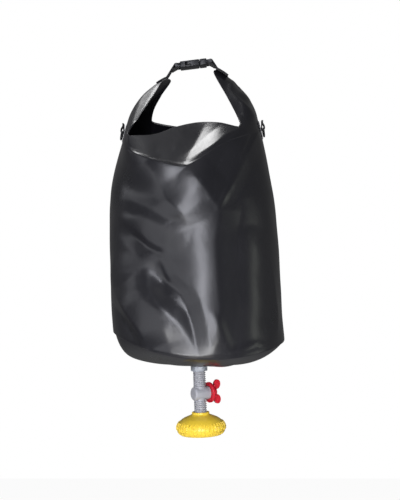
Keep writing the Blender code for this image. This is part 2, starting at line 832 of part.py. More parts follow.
def add_strap_bar(half_buckle, word, bar, block_edge, buckle):
    """Two rails out from the block and the round bar between them that the webbing turns on."""
    middle = BUCKLE_HEIGHT / 2
    into = LAP if block_edge > bar else -LAP
    low_x, high_x = sorted((bar, block_edge + into))
    for side, sign in (("front", -1), ("back", 1)):
        low_y, high_y = sorted((sign * BUCKLE_WIDTH / 2, sign * (BUCKLE_WIDTH / 2 - RAIL)))
        rail = box_mesh(
            f"{word}_rail_{side}",
            (low_x - BAR_RADIUS if into > 0 else low_x, low_y, middle - RAIL_HEIGHT / 2),
            (high_x if into > 0 else high_x + BAR_RADIUS, high_y, middle + RAIL_HEIGHT / 2),
        )
        join(half_buckle, tool(f"{word}_rail_{side}", rail, buckle))
    reach = BUCKLE_WIDTH / 2 - RAIL / 2
    rod = rod_mesh(word + "_bar", BAR_RADIUS, -reach, reach, steps=12, axis="Y")
    join(half_buckle, tool(word + "_bar", rod, buckle, (bar, 0, middle)))


def make_prong(word, sign, inner, buckle):
    """A sprung arm with a barb that locks in the window of the other half."""
    outer = inner - PRONG_PLAY
    root = MALE_LEFT - GAP
    hinge_y = outer - PRONG_THICKNESS / 2
    hinge = empty("prong_hinge_" + word, (root, sign * hinge_y, BUCKLE_HEIGHT / 2), parent=buckle)
    barb = inner + BARB_PROUD
    shoulder = PRONG_TIP + BARB_LENGTH
    outline = [
        (root, outer),
        (shoulder + barb - outer, outer),
        (shoulder, barb),
        (PRONG_TIP + BARB_NOSE, barb),
        (PRONG_TIP, outer),
        (PRONG_TIP, outer - PRONG_THICKNESS / 2),
        (PRONG_TIP + PRONG_THICKNESS / 2, outer - PRONG_THICKNESS),
        (root, outer - PRONG_THICKNESS),
    ]
    local = [(x - root, sign * (y - hinge_y)) for x, y in outline]
    mesh = prism_mesh("buckle_prong_" + word, local, -PRONG_HEIGHT / 2, PRONG_HEIGHT / 2)
    part("buckle_prong_" + word, mesh, BLACK_ACETAL, hinge)


def thread_ridge(name, low, high, parent):
    """One helical ridge of thread between two heights, sunk a little into its core."""
    depth = THREAD_CREST - THREAD_ROOT
    section = (
        (THREAD_ROOT - depth / 3, -0.42),
        (THREAD_CREST, -0.14),
        (THREAD_CREST, 0.14),
        (THREAD_ROOT - depth / 3, 0.42),
    )
    turns = (high - low) / THREAD_PITCH - 1
    count = int(turns * THREAD_STEPS)
    points, faces = [], [(3, 2, 1, 0)]
    for i in range(count + 1):
        angle = 2 * pi * i / THREAD_STEPS
        middle = low + THREAD_PITCH * (0.5 + i / THREAD_STEPS)
        for radius, share in section:
            points.append(
                (radius * cos(angle), radius * sin(angle), middle + share * THREAD_PITCH)
            )
    for i in range(count):
        for j in range(4):
            k = (j + 1) % 4
            faces.append((4 * i + j, 4 * i + k, 4 * i + 4 + k, 4 * i + 4 + j))
    last = 4 * count
    faces.append((last, last + 1, last + 2, last + 3))
    return tool(name, closed_outward(mesh_from(name, points, faces)), parent)


def ring_profile(inner, outer, low, high):
    return [(inner, low), (inner, high), (outer, high), (outer, low)]


def make_fittings(stem):
    """The sealed joint through the base: nut and gasket inside, gasket and lock nut outside."""
    hole = THREAD_CREST + GAP
    gasket_low = WALL + GAP
    flange_low = gasket_low + GASKET + GAP
    hex_low = flange_low + INNER_FLANGE
    turned(
        "inner_gasket",
        ring_profile(hole, INNER_FLANGE_RADIUS, gasket_low, gasket_low + GASKET),
        BLACK_RUBBER,
        stem,
    )
    nut = turned(
        "inner_nut",
        ring_profile(hole, INNER_FLANGE_RADIUS, flange_low, hex_low),
        GREY_NUT,
        stem,
    )
    top = hex_prism("inner_nut_hex", NUT_ACROSS_CORNERS, hex_low - LAP, hex_low + INNER_NUT_HEX)
    join(nut, tool("inner_nut_hex", top, stem))
    bore = rod_mesh("inner_nut_bore", hole, 0, hex_low + INNER_NUT_HEX + BEYOND, steps=32)
    cut(nut, tool("inner_nut_bore", bore, stem))
    turned(
        "outer_gasket", ring_profile(hole, GASKET_RADIUS, -GAP - GASKET, -GAP), BLACK_RUBBER, stem
    )
    lock_top = -2 * GAP - GASKET
    lock_mesh = hex_prism("lock_nut", NUT_ACROSS_CORNERS, lock_top - LOCK_NUT_HEIGHT, lock_top)
    lock = part("lock_nut", lock_mesh, GREY_NUT, stem)
    soften(lock, NUT_EDGE, segments=1)
    bore = rod_mesh("lock_nut_bore", hole, lock_top - LOCK_NUT_HEIGHT - BEYOND, BEYOND, steps=32)
    cut(lock, tool("lock_nut_bore", bore, stem))


def make_valve(stem):
    """The threaded valve body with its plug, seals and wing handle."""
    core = rod_mesh("valve_body", THREAD_ROOT, STUB_BOTTOM, STEM_TOP)
    body = part("valve_body", core, GREY_PLASTIC, stem)
    barrel_top, barrel_low = BARREL_Z + BARREL_RADIUS, BARREL_Z - BARREL_RADIUS
    join(body, thread_ridge("upper_thread", barrel_top - THREAD_PITCH / 2, STEM_TOP, stem))
    join(body, thread_ridge("lower_thread", STUB_BOTTOM, barrel_low + THREAD_PITCH / 2, stem))
    valve = empty("valve_axis", (0, 0, BARREL_Z), (0, pi / 2, BARREL_TURN), stem)
    dome_start = BARREL_CLOSED + BARREL_DOME
    profile = [(0, BARREL_OPEN), (BARREL_RADIUS, BARREL_OPEN), (BARREL_RADIUS, dome_start)]
    for k in range(1, 4):
        angle = k * pi / 8
        profile.append(
            (
                BARREL_RADIUS - BARREL_DOME * (1 - cos(angle)),
                dome_start - BARREL_DOME * sin(angle),
            )
        )
    profile.append((0, BARREL_CLOSED))
    barrel = turned_tool("barrel", profile, valve)
    join(body, barrel)
    water = rod_mesh("water_bore", WATER_BORE, STUB_BOTTOM - BEYOND, STEM_TOP + BEYOND, steps=20)
    cut(body, tool("water_bore", water, stem))
    seat = PLUG_RADIUS + GAP
    plug_bore = rod_mesh("plug_bore", seat, PLUG_END - GAP, BARREL_OPEN + BEYOND, steps=32)
    cut(body, tool("plug_bore", plug_bore, valve))
    make_plug(valve)
    make_handle(valve)


def turned_tool(name, profile, parent, steps=32):
    """A turned body on the parent's Z axis, from a profile that starts and ends on the axis."""
    made = tool(name, open_profile(name, profile), parent)
    spin(made, steps)
    return made


def open_profile(name, profile):
    outline = bpy.data.meshes.new(name)
    points = [(r, 0, z) for r, z in profile]
    outline.from_pydata(points, [(i, i + 1) for i in range(len(points) - 1)], [])
    return outline


def spin(target, steps):
    screw = target.modifiers.new("turn", "SCREW")
    screw.steps = screw.render_steps = steps
    screw.use_merge_vertices = True
    screw.merge_threshold = 0.00001
    screw.use_smooth_shade = True


def make_plug(valve):
    """The turning plug: bored across, with a ring seal on each side of the bore."""
    groove_radius = PLUG_RADIUS - RING_GROOVE_DEPTH
    profile = [(0, BARREL_OPEN), (PLUG_RADIUS, BARREL_OPEN)]
    for seat in (RING_SEAT + RING_SHIFT, -RING_SEAT):
        high, low = seat + RING_GROOVE_WIDTH / 2, seat - RING_GROOVE_WIDTH / 2
        profile += [(PLUG_RADIUS, high), (groove_radius, high)]
        profile += [(groove_radius, low), (PLUG_RADIUS, low)]
    profile += [(PLUG_RADIUS, PLUG_END), (0, PLUG_END)]
    plug = part("valve_plug", open_profile("valve_plug", profile), WHITE_PLASTIC, valve)
    spin(plug, 32)
    side = DRIVE_SIDE / 2
    drive = box_mesh("plug_drive", (-side, -side, BARREL_OPEN - LAP), (side, side, DRIVE_END))
    join(plug, tool("plug_drive", drive, valve))
    bore = rod_mesh("plug_cross_bore", PLUG_BORE, -BEYOND, BEYOND, steps=20, axis="X")
    cut(plug, tool("plug_cross_bore", bore, valve))
    pilot_low = DRIVE_END + HUB_FLOOR + GAP - SCREW_LENGTH - GAP
    pilot = rod_mesh("plug_pilot", SCREW_RADIUS + GAP, pilot_low, DRIVE_END + BEYOND, steps=12)
    cut(plug, tool("plug_pilot", pilot, valve))
    major = (groove_radius + PLUG_RADIUS + GAP) / 2
    for word, seat in (("inner", -RING_SEAT), ("outer", RING_SEAT + RING_SHIFT)):
        profile = [
            (
                major + O_RING_SECTION * cos(-k * pi / 3),
                seat + O_RING_SECTION * sin(-k * pi / 3),
            )
            for k in range(6)
        ]
        turned("o_ring_" + word, profile, BLACK_RUBBER, valve, steps=24)


def make_handle(valve):
    """The disc, hub and two leaf-shaped wings, in line with the stem when the valve is open."""
    disc_low = BARREL_OPEN + HANDLE_PLAY
    disc_high = disc_low + HANDLE_DISC
    hub_top = DRIVE_END + GAP + HUB_FLOOR + SCREW_HEAD + HUB_RIM
    profile = [
        (0, hub_top),
        (HANDLE_HUB_RADIUS, hub_top),
        (HANDLE_HUB_RADIUS, disc_high),
        (HANDLE_DISC_RADIUS - DISC_EDGE, disc_high),
        (HANDLE_DISC_RADIUS, disc_high - DISC_EDGE),
        (HANDLE_DISC_RADIUS, disc_low),
        (0, disc_low),
    ]
    handle = part("valve_handle", open_profile("valve_handle", profile), RED_PLASTIC, valve)
    spin(handle, 32)
    half = WING_THICKNESS / 2
    reach, width = WING_LOBE
    lobe_middle = WING_TIP - reach
    for word, sign in (("upper", -1), ("lower", 1)):
        outline = []
        for k in range(16):
            angle = k * pi / 8
            along = reach * cos(angle) * cos(WING_LEAN) + width * sin(angle) * sin(WING_LEAN)
            off = -reach * cos(angle) * sin(WING_LEAN) + width * sin(angle) * cos(WING_LEAN)
            outline.append((sign * (WING_LOBE_HEIGHT + off), lobe_middle + along))
        wing = prism_mesh("wing_" + word, outline, -half, half, axis="Y")
        join(handle, tool("wing_" + word, wing, valve))
    web = box_mesh(
        "wing_web",
        (-WING_WEB, -WEB_THICKNESS / 2, disc_high - LAP),
        (WING_WEB, WEB_THICKNESS / 2, hub_top + WEB_PROUD),
    )
    join(handle, tool("wing_web", web, valve))
    side = DRIVE_SIDE / 2 + GAP
    socket = box_mesh("drive_socket", (-side, -side, 0), (side, side, DRIVE_END + GAP))
    cut(handle, tool("drive_socket", socket, valve))
    seat = DRIVE_END + GAP + HUB_FLOOR
    through = rod_mesh("screw_hole", SCREW_RADIUS + GAP, BARREL_OPEN, seat + BEYOND, steps=12)
    cut(handle, tool("screw_hole", through, valve))
    recess = rod_mesh("screw_recess", SCREW_HEAD_RADIUS + GAP, seat, WING_TIP + BEYOND, steps=20)
    cut(handle, tool("screw_recess", recess, valve))
    top = seat + GAP + SCREW_HEAD
    shank_end = top - SCREW_HEAD - SCREW_LENGTH + GAP
    profile = [
        (0, top),
        (SCREW_HEAD_RADIUS * 0.7, top),
        (SCREW_HEAD_RADIUS, top - SCREW_HEAD * 0.5),
        (SCREW_HEAD_RADIUS, top - SCREW_HEAD),
        (SCREW_RADIUS, top - SCREW_HEAD),
        (SCREW_RADIUS, shank_end),
        (0, shank_end - SCREW_RADIUS * 0.5),
    ]
    screw = part("handle_screw", open_profile("handle_screw", profile), STEEL, valve)
    spin(screw, 20)


def head_outline():
    """Outer profile of the head, (radius, depth below the collar's top), from top to bottom."""
    reach = HEAD_RADIUS - COLLAR_RADIUS
    rows = [(COLLAR_RADIUS + reach * a, HEAD_HEIGHT * b) for a, b in HEAD_CURVE]
    return rows + [(ROSE_RADIUS + GAP + HEAD_LIP, HEAD_HEIGHT)]


def head_hollow(floor, ledge):
    """Profile of the space inside the head, from the collar's floor to the rose's seat."""
    sleeve = THREAD_CREST + GAP + COLLAR_WALL
    seat = ROSE_RADIUS + GAP
    top = HEAD_HEIGHT * HEAD_CURVE[1][1] + 2 * HEAD_WALL
    profile = [(0, -floor), (sleeve, -floor), (sleeve, -top)]
    for (radius, depth), (share, _) in list(zip(head_outline(), HEAD_CURVE))[2:7]:
        profile.append((radius - HEAD_WALL, -depth - HEAD_WALL * (1 - share)))
    bottom = -HEAD_HEIGHT - LAP
    return profile + [(seat - HEAD_WALL, -ledge), (seat, -ledge), (seat, bottom), (0, bottom)]


def make_head(stem):
    """The shower head: a hollow dome with a threaded collar and a ribbed grip."""
    head = empty("head_axis", (0, 0, HEAD_TOP), parent=stem)
    columns = 2 * RIBS
    rows = head_outline()
    points = [(0, 0, 0), (0, 0, -HEAD_HEIGHT)]
    for index, (radius, depth) in enumerate(rows):
        for k in range(columns):
            angle = 2 * pi * k / columns
            reach = radius - (RIB_DEPTH if index in RIBBED_ROWS and k % 2 else 0.0)
            points.append((reach * cos(angle), reach * sin(angle), -depth))
    quads = ring_faces(len(rows), columns)[: (len(rows) - 1) * columns]
    faces = [tuple(2 + i for i in reversed(quad)) for quad in quads]
    last = 2 + (len(rows) - 1) * columns
    for k in range(columns):
        n = (k + 1) % columns
        faces.append((0, 2 + k, 2 + n))
        faces.append((1, last + n, last + k))
    shell = part("shower_head", mesh_from("shower_head", points, faces), YELLOW_PLASTIC, head)
    floor = COLLAR_DEPTH + COLLAR_FLOOR
    ledge = HEAD_HEIGHT - ROSE_THICKNESS - GAP
    cut(shell, turned_tool("head_hollow", head_hollow(floor, ledge), head, steps=40))
    socket = rod_mesh("collar_bore", THREAD_CREST + GAP, -COLLAR_DEPTH, BEYOND, steps=32)
    cut(shell, tool("collar_bore", socket, head))
    inlet = rod_mesh("collar_inlet", WATER_BORE, -floor - LAP, 0, steps=20)
    cut(shell, tool("collar_inlet", inlet, head))
    washer_low = GAP - COLLAR_DEPTH
    turned(
        "head_washer",
        ring_profile(WATER_BORE, THREAD_CREST - GAP, washer_low, washer_low + WASHER),
        BLACK_RUBBER,
        head,
        steps=24,
    )
    profile = [
        (0, -HEAD_HEIGHT + ROSE_THICKNESS),
        (ROSE_RADIUS, -HEAD_HEIGHT + ROSE_THICKNESS),
        (ROSE_RADIUS, -HEAD_HEIGHT + GAP),
        (0, -HEAD_HEIGHT + GAP),
    ]
    rose = part("rose_plate", open_profile("rose_plate", profile), YELLOW_PLASTIC, head)
    spin(rose, 48)
    cut(rose, tool("rose_holes", rose_holes(), head))


def rose_holes():
    """Rings of spray holes, as one cutter of separate pins."""
    body = bmesh.new()
    for ring_radius, count in ROSE_RINGS:
        for k in range(count):
            angle = 2 * pi * k / count
            pin = bmesh.ops.create_cone(
                body, cap_ends=True, segments=6, radius1=ROSE_HOLE, radius2=ROSE_HOLE, depth=BEYOND
            )
            place = (ring_radius * cos(angle), ring_radius * sin(angle), -HEAD_HEIGHT)
            bmesh.ops.translate(body, vec=place, verts=pin["verts"])
    made = bpy.data.meshes.new("rose_holes")
    body.to_mesh(made)
    body.free()
    return made


AROUND = np.arange(COLUMNS) / COLUMNS
CAGE = wall_cage()
LEFT_SIDE = (len(FRONT_LIP) - 0.5) / (2 * len(FRONT_LIP))
RIGHT_SIDE = 1 - 0.5 / (2 * len(FRONT_LIP))
clear_scene()
PARTS = collection(NAME)
TOOLS = collection(NAME + "_tools")
make_bag()
make_base()
make_lip_bands()
make_side_tab("left", LEFT_SIDE, -1)
make_side_tab("right", RIGHT_SIDE, 1)
FEMALE_BAR, MALE_BAR = make_buckle()
make_strap("strap_left", LEFT_SIDE, FEMALE_BAR)
make_strap("strap_right", RIGHT_SIDE, MALE_BAR)
STEM = empty("stem_axis", (STEM_X, 0, BASE_Z), (0, STEM_TILT, 0))
make_fittings(STEM)
make_valve(STEM)
make_head(STEM)
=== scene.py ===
from math import cos, pi, radians, sin

import bmesh
import bpy
import numpy as np
from mathutils import Matrix, Vector


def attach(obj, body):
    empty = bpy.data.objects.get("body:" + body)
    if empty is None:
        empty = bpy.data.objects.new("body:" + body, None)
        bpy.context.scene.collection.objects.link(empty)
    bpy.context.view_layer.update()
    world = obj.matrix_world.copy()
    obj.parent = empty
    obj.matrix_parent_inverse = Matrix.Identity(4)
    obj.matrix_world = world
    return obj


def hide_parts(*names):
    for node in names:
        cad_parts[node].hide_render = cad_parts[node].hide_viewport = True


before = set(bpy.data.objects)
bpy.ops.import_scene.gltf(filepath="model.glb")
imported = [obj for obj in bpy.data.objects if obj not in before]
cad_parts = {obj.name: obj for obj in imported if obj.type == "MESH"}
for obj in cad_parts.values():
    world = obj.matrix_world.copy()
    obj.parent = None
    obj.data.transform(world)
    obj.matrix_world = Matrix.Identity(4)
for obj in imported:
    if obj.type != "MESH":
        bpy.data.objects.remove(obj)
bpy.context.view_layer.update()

bl_info = {
    "name": "Dry bag with shower",
    "version": (1, 0, 0),
    "blender": (4, 5, 0),
    "location": "3D View > Sidebar > Dry bag",
    "description": "Dresses the packed frame of a roll-top dry bag with a valve and shower head",
    "category": "Object",
}

MM = 0.001

# The bag's shape, in millimetres: a rim, level sections (height, left, right, half depth, dip in front and
# behind), a fold below the mouth and the lip above it, with rows that run back from right to left, then in
# front from left to right
STEM_FOOT = (6.5, 0.0, -436.0)
STEM_TILT = radians(2)
RIM_RADIUS, RIM_HEIGHT, RIM_SLOPE, RIM_SAG = 125.0, -394.5, -0.052, 21.0
SECTIONS = (
    (-361, -121, 128, 119, 0), (-324, -122, 126, 114, 0), (-283, -123, 124, 110, 0),
    (-240, -124, 121, 108, 4), (-200, -123, 117, 107, 14), (-163, -119, 111, 105, 28),
)
FRONT_FOLD = (
    (-101.5, -8, -98), (-101.5, -36, -110), (-99, -62, -122), (-89, -81, -131), (-68, -93, -140),
    (-43, -99, -149), (-14, -103, -154), (9, -99, -142), (29, -91, -128), (51, -80, -116),
    (73, -64, -108), (90, -38, -100), (96, -9, -93),
)
BACK_FOLD = (
    (96, 9, -93), (93, 38, -96), (80, 64, -100), (64, 82, -110), (46, 94, -118), (24, 101, -124),
    (0, 103, -126), (-24, 101, -124), (-46, 96, -119), (-67, 86, -112), (-85, 67, -104),
    (-98, 40, -101), (-101.5, 8, -98),
)
FRONT_LIP = (
    (-46, -11, -21), (-58, -29, -43), (-77, -48, -74), (-94, -66, -104), (-76, -71, -108),
    (-52, -67, -105), (-25, -57, -94), (6, -51, -87), (36, -56, -88), (64, -60, -94),
    (60, -45, -76), (46, -30, -46), (28, -11, -9),
)
BACK_LIP = (
    (40, 11, -7), (54, 29, -32), (67, 46, -59), (67, 60, -80), (45, 59, -85), (20, 56, -85),
    (-6, 57, -83), (-30, 61, -79), (-52, 63, -75), (-66, 60, -70), (-62, 45, -55),
    (-50, 28, -37), (-35, 11, -18),
)
FOLD_ROW, LIP_ROW = 7, 11
COLUMNS = 26
LEFT_SIDE, RIGHT_SIDE = 12.5 / COLUMNS, 1 - 0.5 / COLUMNS

# How far the ears bow out on the columns next to the sides, which way, and the rows between fold and lip
EAR_BOW, EAR_STEPS = (12, 9, 4), (0.3, 0.6, 0.85)
BOW_OUT, BOW_UP = 0.8, 0.6

# How crisp the fold is at each share of the way round
FOLD_SHARPNESS = (
    (0.0, 0.04, 0.12, 0.25, 0.40, 0.48, 0.54, 0.58, 0.64, 0.70, 0.76, 0.92, 0.96, 1.0),
    (0.2, 0.30, 0.60, 0.70, 0.60, 0.20, 0.20, 0.50, 0.90, 1.00, 1.00, 1.00, 0.40, 0.2),
)

# The camera's place in millimetres, and the 400 by 500 grid that it sees: one step in millimetres at the
# bag's middle plane, and the grid's middle
CAMERA_X, CAMERA_AWAY, CAMERA_Z = 8.1, 1500, -268.3
GRID_STEP, GRID_X, GRID_Y = 1.47, 200, 250

# Creases as seen from the front: height in millimetres, reach in grid steps to the left of the way it runs
# and to the right of it, how pointed it is, where 0 is round, and its line on the grid
BODY_CREASES = {
    "main ridge": (7.0, 44, 22, 1.1, (
        (187, 166), (206, 190), (219, 211), (215, 240), (217, 280), (219, 310), (216, 340), (208, 362))),
    "shoulder ridge": (3.0, 16, 6, 1.2, ((250, 130), (229, 180), (218, 208))),
    "shoulder pleat": (3.0, 4, 12, 1.2, ((260, 126), (244, 158), (228, 190), (217, 206))),
    "under fold": (1.6, 24, 10, 0, ((136, 143), (150, 158), (166, 168), (180, 172))),
    "left dent": (6.0, 34, 40, 1.3, ((148, 160), (160, 184), (168, 200), (182, 214), (190, 228))),
    "upper hollow": (-1.6, 20, 40, 0, ((112, 196), (132, 200), (152, 206))),
    "dent shelf": (3.0, 22, 14, 0, ((114, 210), (140, 218), (164, 230), (190, 238))),
    "long valley": (-3.2, 13, 5, 1.2, ((122, 224), (147, 247), (160, 253), (166, 262))),
    "low valley": (-6.0, 26, 13, 1.0, (
        (158, 260), (165, 280), (180, 294), (187, 306), (191, 322), (195, 340), (199, 358))),
    "low pit": (-4.5, 13, 10, 0, ((151, 254), (156, 274), (168, 296))),
    "low crest": (4.0, 38, 14, 1.1, (
        (147, 268), (149, 290), (159, 305), (173, 318), (183, 329), (191, 341), (198, 356))),
    "left facet": (3.0, 12, 40, 1.3, ((116, 252), (114, 276), (120, 292))),
    "corner ridge": (8.0, 10, 60, 1.1, ((115, 290), (124, 303), (135, 320), (143, 333), (148, 350))),
    "corner pocket": (-2.5, 10, 8, 1.4, ((116, 306), (126, 322), (135, 340))),
    "right ridge": (2.4, 24, 18, 0, ((251, 225), (252, 270), (252, 310), (248, 345))),
    "right edge": (1.6, 6, 6, 1.6, ((272, 270), (277, 310), (277, 338))),
    "seam": (-1.3, 2.5, 2.5, 1.0, (
        (117, 349), (133, 352), (161, 356), (188, 359.5), (200, 360), (218, 359), (236, 356), (262, 350),
        (280, 343))),
    "hem": (0.9, 2.5, 2.2, 1.0, ((124, 354), (140, 357), (166, 361), (188, 363), (206, 363))),
    "foot wedge": (2.0, 12, 8, 1.4, ((212, 312), (222, 334), (231, 352))),
    "foot ridge": (3.2, 9, 6, 1.3, ((226, 360), (240, 350), (256, 344), (270, 348))),
}
MOUTH_CREASES = {
    "facet valley": (-2.0, 12, 16, 1.5, ((184, 164), (192, 148), (206, 122))),
    "facet roll": (3.0, 6, 12, 1.0, ((186, 167), (204, 154), (226, 136), (244, 127))),
    "ear ridge": (6.5, 7, 11, 1.1, ((228, 90), (239, 104), (256, 120))),
    "ear ridge high": (3.5, 4, 6, 1.1, ((231, 80), (230, 92))),
    "ear pleat": (3.5, 4, 6, 1.1, ((237, 92), (249, 104))),
}
BACK_CREASES = {
    "back ridge": (6.0, 34, 30, 1.5, ((178, 140), (186, 200), (176, 262), (188, 345))),
    "back dent": (-4.0, 14, 12, 1.4, ((238, 170), (226, 208), (204, 240))),
    "back long ridge": (3.5, 12, 16, 1.3, ((262, 250), (240, 286), (214, 330), (206, 352))),
    "back fan": (-3.0, 8, 8, 1.3, ((132, 136), (152, 186), (164, 222))),
    "back side ridge": (3.0, 14, 12, 1.6, ((134, 230), (130, 290), (136, 338))),
    "back fold": (2.6, 8, 8, 1.3, ((140, 352), (158, 346), (176, 354))),
}

# A crease fades over this many steps, down to this share of its height at its ends
CREASE_TAPER, CREASE_END = 26, 0.15

# Rows past the fold, and turns away from the front, over which creases fade out or in; the lip keeps less
BODY_FADE, MOUTH_FADE, LIP_FADE, LIP_LOSS = (-0.05, 0.45), (0.0, 0.5), 1.2, 0.6
BODY_TURN, MOUTH_TURN = (0.05, 0.45), (-0.1, 0.3)
FOOT_TUCK, FOOT_TUCK_ROWS = 1.2, 0.10
RIPPLE = 0.35

# Small steps across and up the wall that give the way out of it
ACROSS_STEP, ROW_STEP = 0.004, 0.05

# Wall, lip stiffeners and base, in metres; spans of rows are first, last and how many
WALL, GAP = 1.0 * MM, 0.3 * MM
WALL_ROWS, EAR_ROWS = ((0, 5, 78), (5, 6.6, 24), (6.6, 7.3, 26)), (7.3, 10.97, 44)
LIP_BANDS = {"back": (2 / 40, 17 / 40, 100), "front": (22 / 40, 37 / 40, 100)}
BAND_ROWS, BAND_THICKNESS, BAND_OFFSET = (9.95, 10.85, 9), 0.8 * MM, -1.3 * MM
BASE_COLUMNS, FLANGE_ROW, BASE_SEAT = 180, 0.22, 1.5 * MM
COLLAR_RADII = (9.6 * MM, 15 * MM, 22 * MM)
BASE_SPAN, BASE_EDGE = (0.04, 0.9, 26), (0.93, 0.955, 0.975, 0.99)

# How the slack, the tight and the lifted base rise to the rim: two shares, each with its power
BASE_RISES = ((0.35, 2, 0.65, 12), (0.60, 2, 0.40, 6), (0.80, 1.3, 0.20, 8))

# Folds of the base: height in millimetres, how many round it, their turn and their drift outwards
BASE_FOLDS = ((0.9, 9, 0.8, 2), (0.7, 15, 2.1, 0), (0.9, 5, -0.6, 0))
RIGHT_FOLDS, RIGHT_FOLDS_AT, RIGHT_FOLDS_REACH = (1.6, 21), -0.9, 0.5
FOLDS_END, FOLDS_POWER = 0.96, 1.4

# Straps and buckle bars, side tabs and rings, in metres
WEBBING, WEBBING_WIDTH = 1.5 * MM, 25 * MM
BUCKLE_TILT = radians(-7)
BUCKLE_MIDDLE, BAR_RADIUS = 4.5 * MM, 1.8 * MM
FEMALE_BAR, MALE_BAR = -26.2 * MM, 24.2 * MM
STRAP_ROWS, STRAP_LIFT, STRAP_LEAD = (9.95, 10.2, 10.45, 10.7, 10.9), 0.9 * MM, 9 * MM
STRAP_SETTLE, STRAP_TAIL, STRAP_SPOTS = 7.5 * MM, 1.5 * MM, 110
STITCH_HALF_WIDTH, STITCH_LIFT, STITCH_THICKNESS = 9.5 * MM, 0.05 * MM, 0.0007
STITCHED = slice(1, 17)
TAB_WIDTH, TAB_WEBBING, TAB_TAIL, TAB_SPOTS, PATCH = 18 * MM, 1 * MM, 12 * MM, 60, 0.8 * MM
PATCH_SPAN, PATCH_ROWS = (-0.6, 0.6, 25), (6.78, 7.35, 17)
RING_WIRE, RING_RADIUS, RING_BAR = 1.2 * MM, 11.5 * MM, 0.94
RINGS = {
    "left": (LEFT_SIDE, -1, (-0.105775, -0.000254, -0.09489), (0.20534, 0, 0.97869)),
    "right": (RIGHT_SIDE, 1, (0.100685, -0.000134, -0.090302), (-0.15811, 0, 0.98742)),
}

# Stem, valve and head, in metres; profiles are radius and height in millimetres
STEM = Matrix.Translation(Vector(STEM_FOOT) * MM) @ Matrix.Rotation(-STEM_TILT, 4, "Y")
VALVE_TURN = Matrix.Rotation(radians(30), 4, "Z") @ Matrix.Rotation(pi / 2, 4, "Y")
VALVE = STEM @ Matrix.Translation((0, 0, -43 * MM)) @ VALVE_TURN
HEAD = STEM @ Matrix.Translation((0, 0, -70 * MM))
THREAD_ROOT, THREAD_PITCH, THREAD_MIDDLE, THREAD_RIDGE = 7.7 * MM, 3.0 * MM, 8.15 * MM, 1.15 * MM
STEM_TOP, STEM_END, BARREL_Z, BARREL_RADIUS = 14.5 * MM, -79.9 * MM, -43 * MM, 9.9 * MM
THREAD_ENDS, THREAD_OVERLAP = 0.6 * MM, 0.5 * MM
STEM_BORE, PLUG_BORE, PLUG_FLOOR, PAST_END = 5 * MM, 7 * MM, -8 * MM, 0.01
STEM_SKIN, HANDLE_SKIN = 0.42 * MM, 0.36 * MM
BARREL_PROFILE = (
    (0.0001, 14.0), (9.5, 14.0), (9.9, 13.6), (9.9, -9.0), (9.7, -10.0), (9.1, -10.8), (8.1, -11.3),
    (6.6, -11.5), (0.0001, -11.5),
)
HEAD_PROFILE = (
    (12.3, 0.0), (12.9, -0.6), (12.9, -2.6), (13.6, -3.6), (16.0, -4.9), (20.4, -6.6), (24.6, -8.4),
    (28.2, -10.6), (31.0, -13.0), (33.4, -15.2), (35.1, -17.6), (36.0, -20.0), (36.3, -22.2),
    (36.1, -24.2), (35.4, -26.2), (34.2, -28.4), (32.6, -30.6), (31.0, -32.2), (30.0, -33.0),
    (28.8, -33.0), (28.8, -30.2), (26.8, -30.2), (30.5, -27.0), (33.6, -23.5), (34.1, -20.5),
    (31.3, -15.8), (26.0, -12.4), (18.4, -8.8), (12.1, -7.0), (12.1, -15.0), (5.0, -15.0), (5.0, -12.5),
    (9.6, -12.5), (9.6, 0.0),
)
ROSE_PROFILE = ((0.0001, -30.5), (28.0, -30.5), (28.5, -31.0), (28.5, -32.2), (28.0, -32.7), (0.0001, -33.4))
HOLE_SPACING, HOLE_CUT = 0.008, 0.02

# Each row of grip ribs: how deep it is sunk in the dome, and its line
RIB_RADIUS = 1.15 * MM
RIB_LINES = {
    "upper": (0.4, (
        (32.6, -14.4), (34.4, -16.6), (35.6, -19.0), (36.2, -21.4), (36.2, -23.6), (35.8, -25.2))),
    "lower": (0.7, ((34.9, -27.4), (34.1, -28.6), (33.2, -29.8), (32.2, -31.0))),
}

# Each lamp: the setting of its power, its place, its aim, its width and height, and its colour
WHITE, COOL = (1.0, 1.0, 1.0), (0.93, 0.94, 1.0)
LAMPS = {
    "top_lamp": ("top_power", (-0.36, 0.16, 0.86), (0.0, -0.09, -0.12), (0.42, 0.42), WHITE),
    "key_lamp": ("front_power", (-0.16, -1.95, 0.0), (0.0, -0.1, -0.28), (0.34, 1.3), (0.91, 0.92, 1.0)),
    "side_lamp": ("side_power", (-1.36, -1.43, -0.42), (0.0, -0.1, -0.3), (1.8, 0.9), COOL),
    "left_lamp": ("left_power", (-1.60, -0.15, 0.02), (0.0, -0.05, -0.36), (0.9, 0.25), COOL),
    "ear_lamp": ("ear_power", (-0.61, 0.58, 0.69), (-0.06, -0.03, -0.05), (0.3, 0.3), WHITE),
    "low_lamp": ("low_power", (0.0, -0.90, -1.30), (0.0, -0.05, -0.45), (0.7, 0.5), (1.0, 0.90, 0.80)),
    "fitting_lamp": ("fitting_power", (0.02, -0.60, -0.505), (0.01, 0.0, -0.515), (0.5, 0.12), WHITE),
    "lip_lamp": ("lip_power", (0.12, -0.80, 0.86), (0.05, -0.03, -0.06), (0.3, 0.2), WHITE),
    "right_lamp": ("right_power", (1.42, -0.27, -0.50), (0.1, -0.1, -0.35), (0.4, 0.9), (0.95, 1.0, 0.88)),
}
SENSOR = 36
FLOOR_HALF, FLOOR_Z, FLOOR_COLOUR, FLOOR_GLOW = 4, -1.5, (0.86, 0.86, 0.85, 1), 1.06

# Angles in degrees past which an edge stays sharp, and the distances at which points and slivers merge
SHARP, SHEET_SHARP, RIBBON_SHARP, NEVER_SHARP = 35, 50, 60, 180
MERGE, SLIVER = 0.000005, 0.000001


# The bag's surface


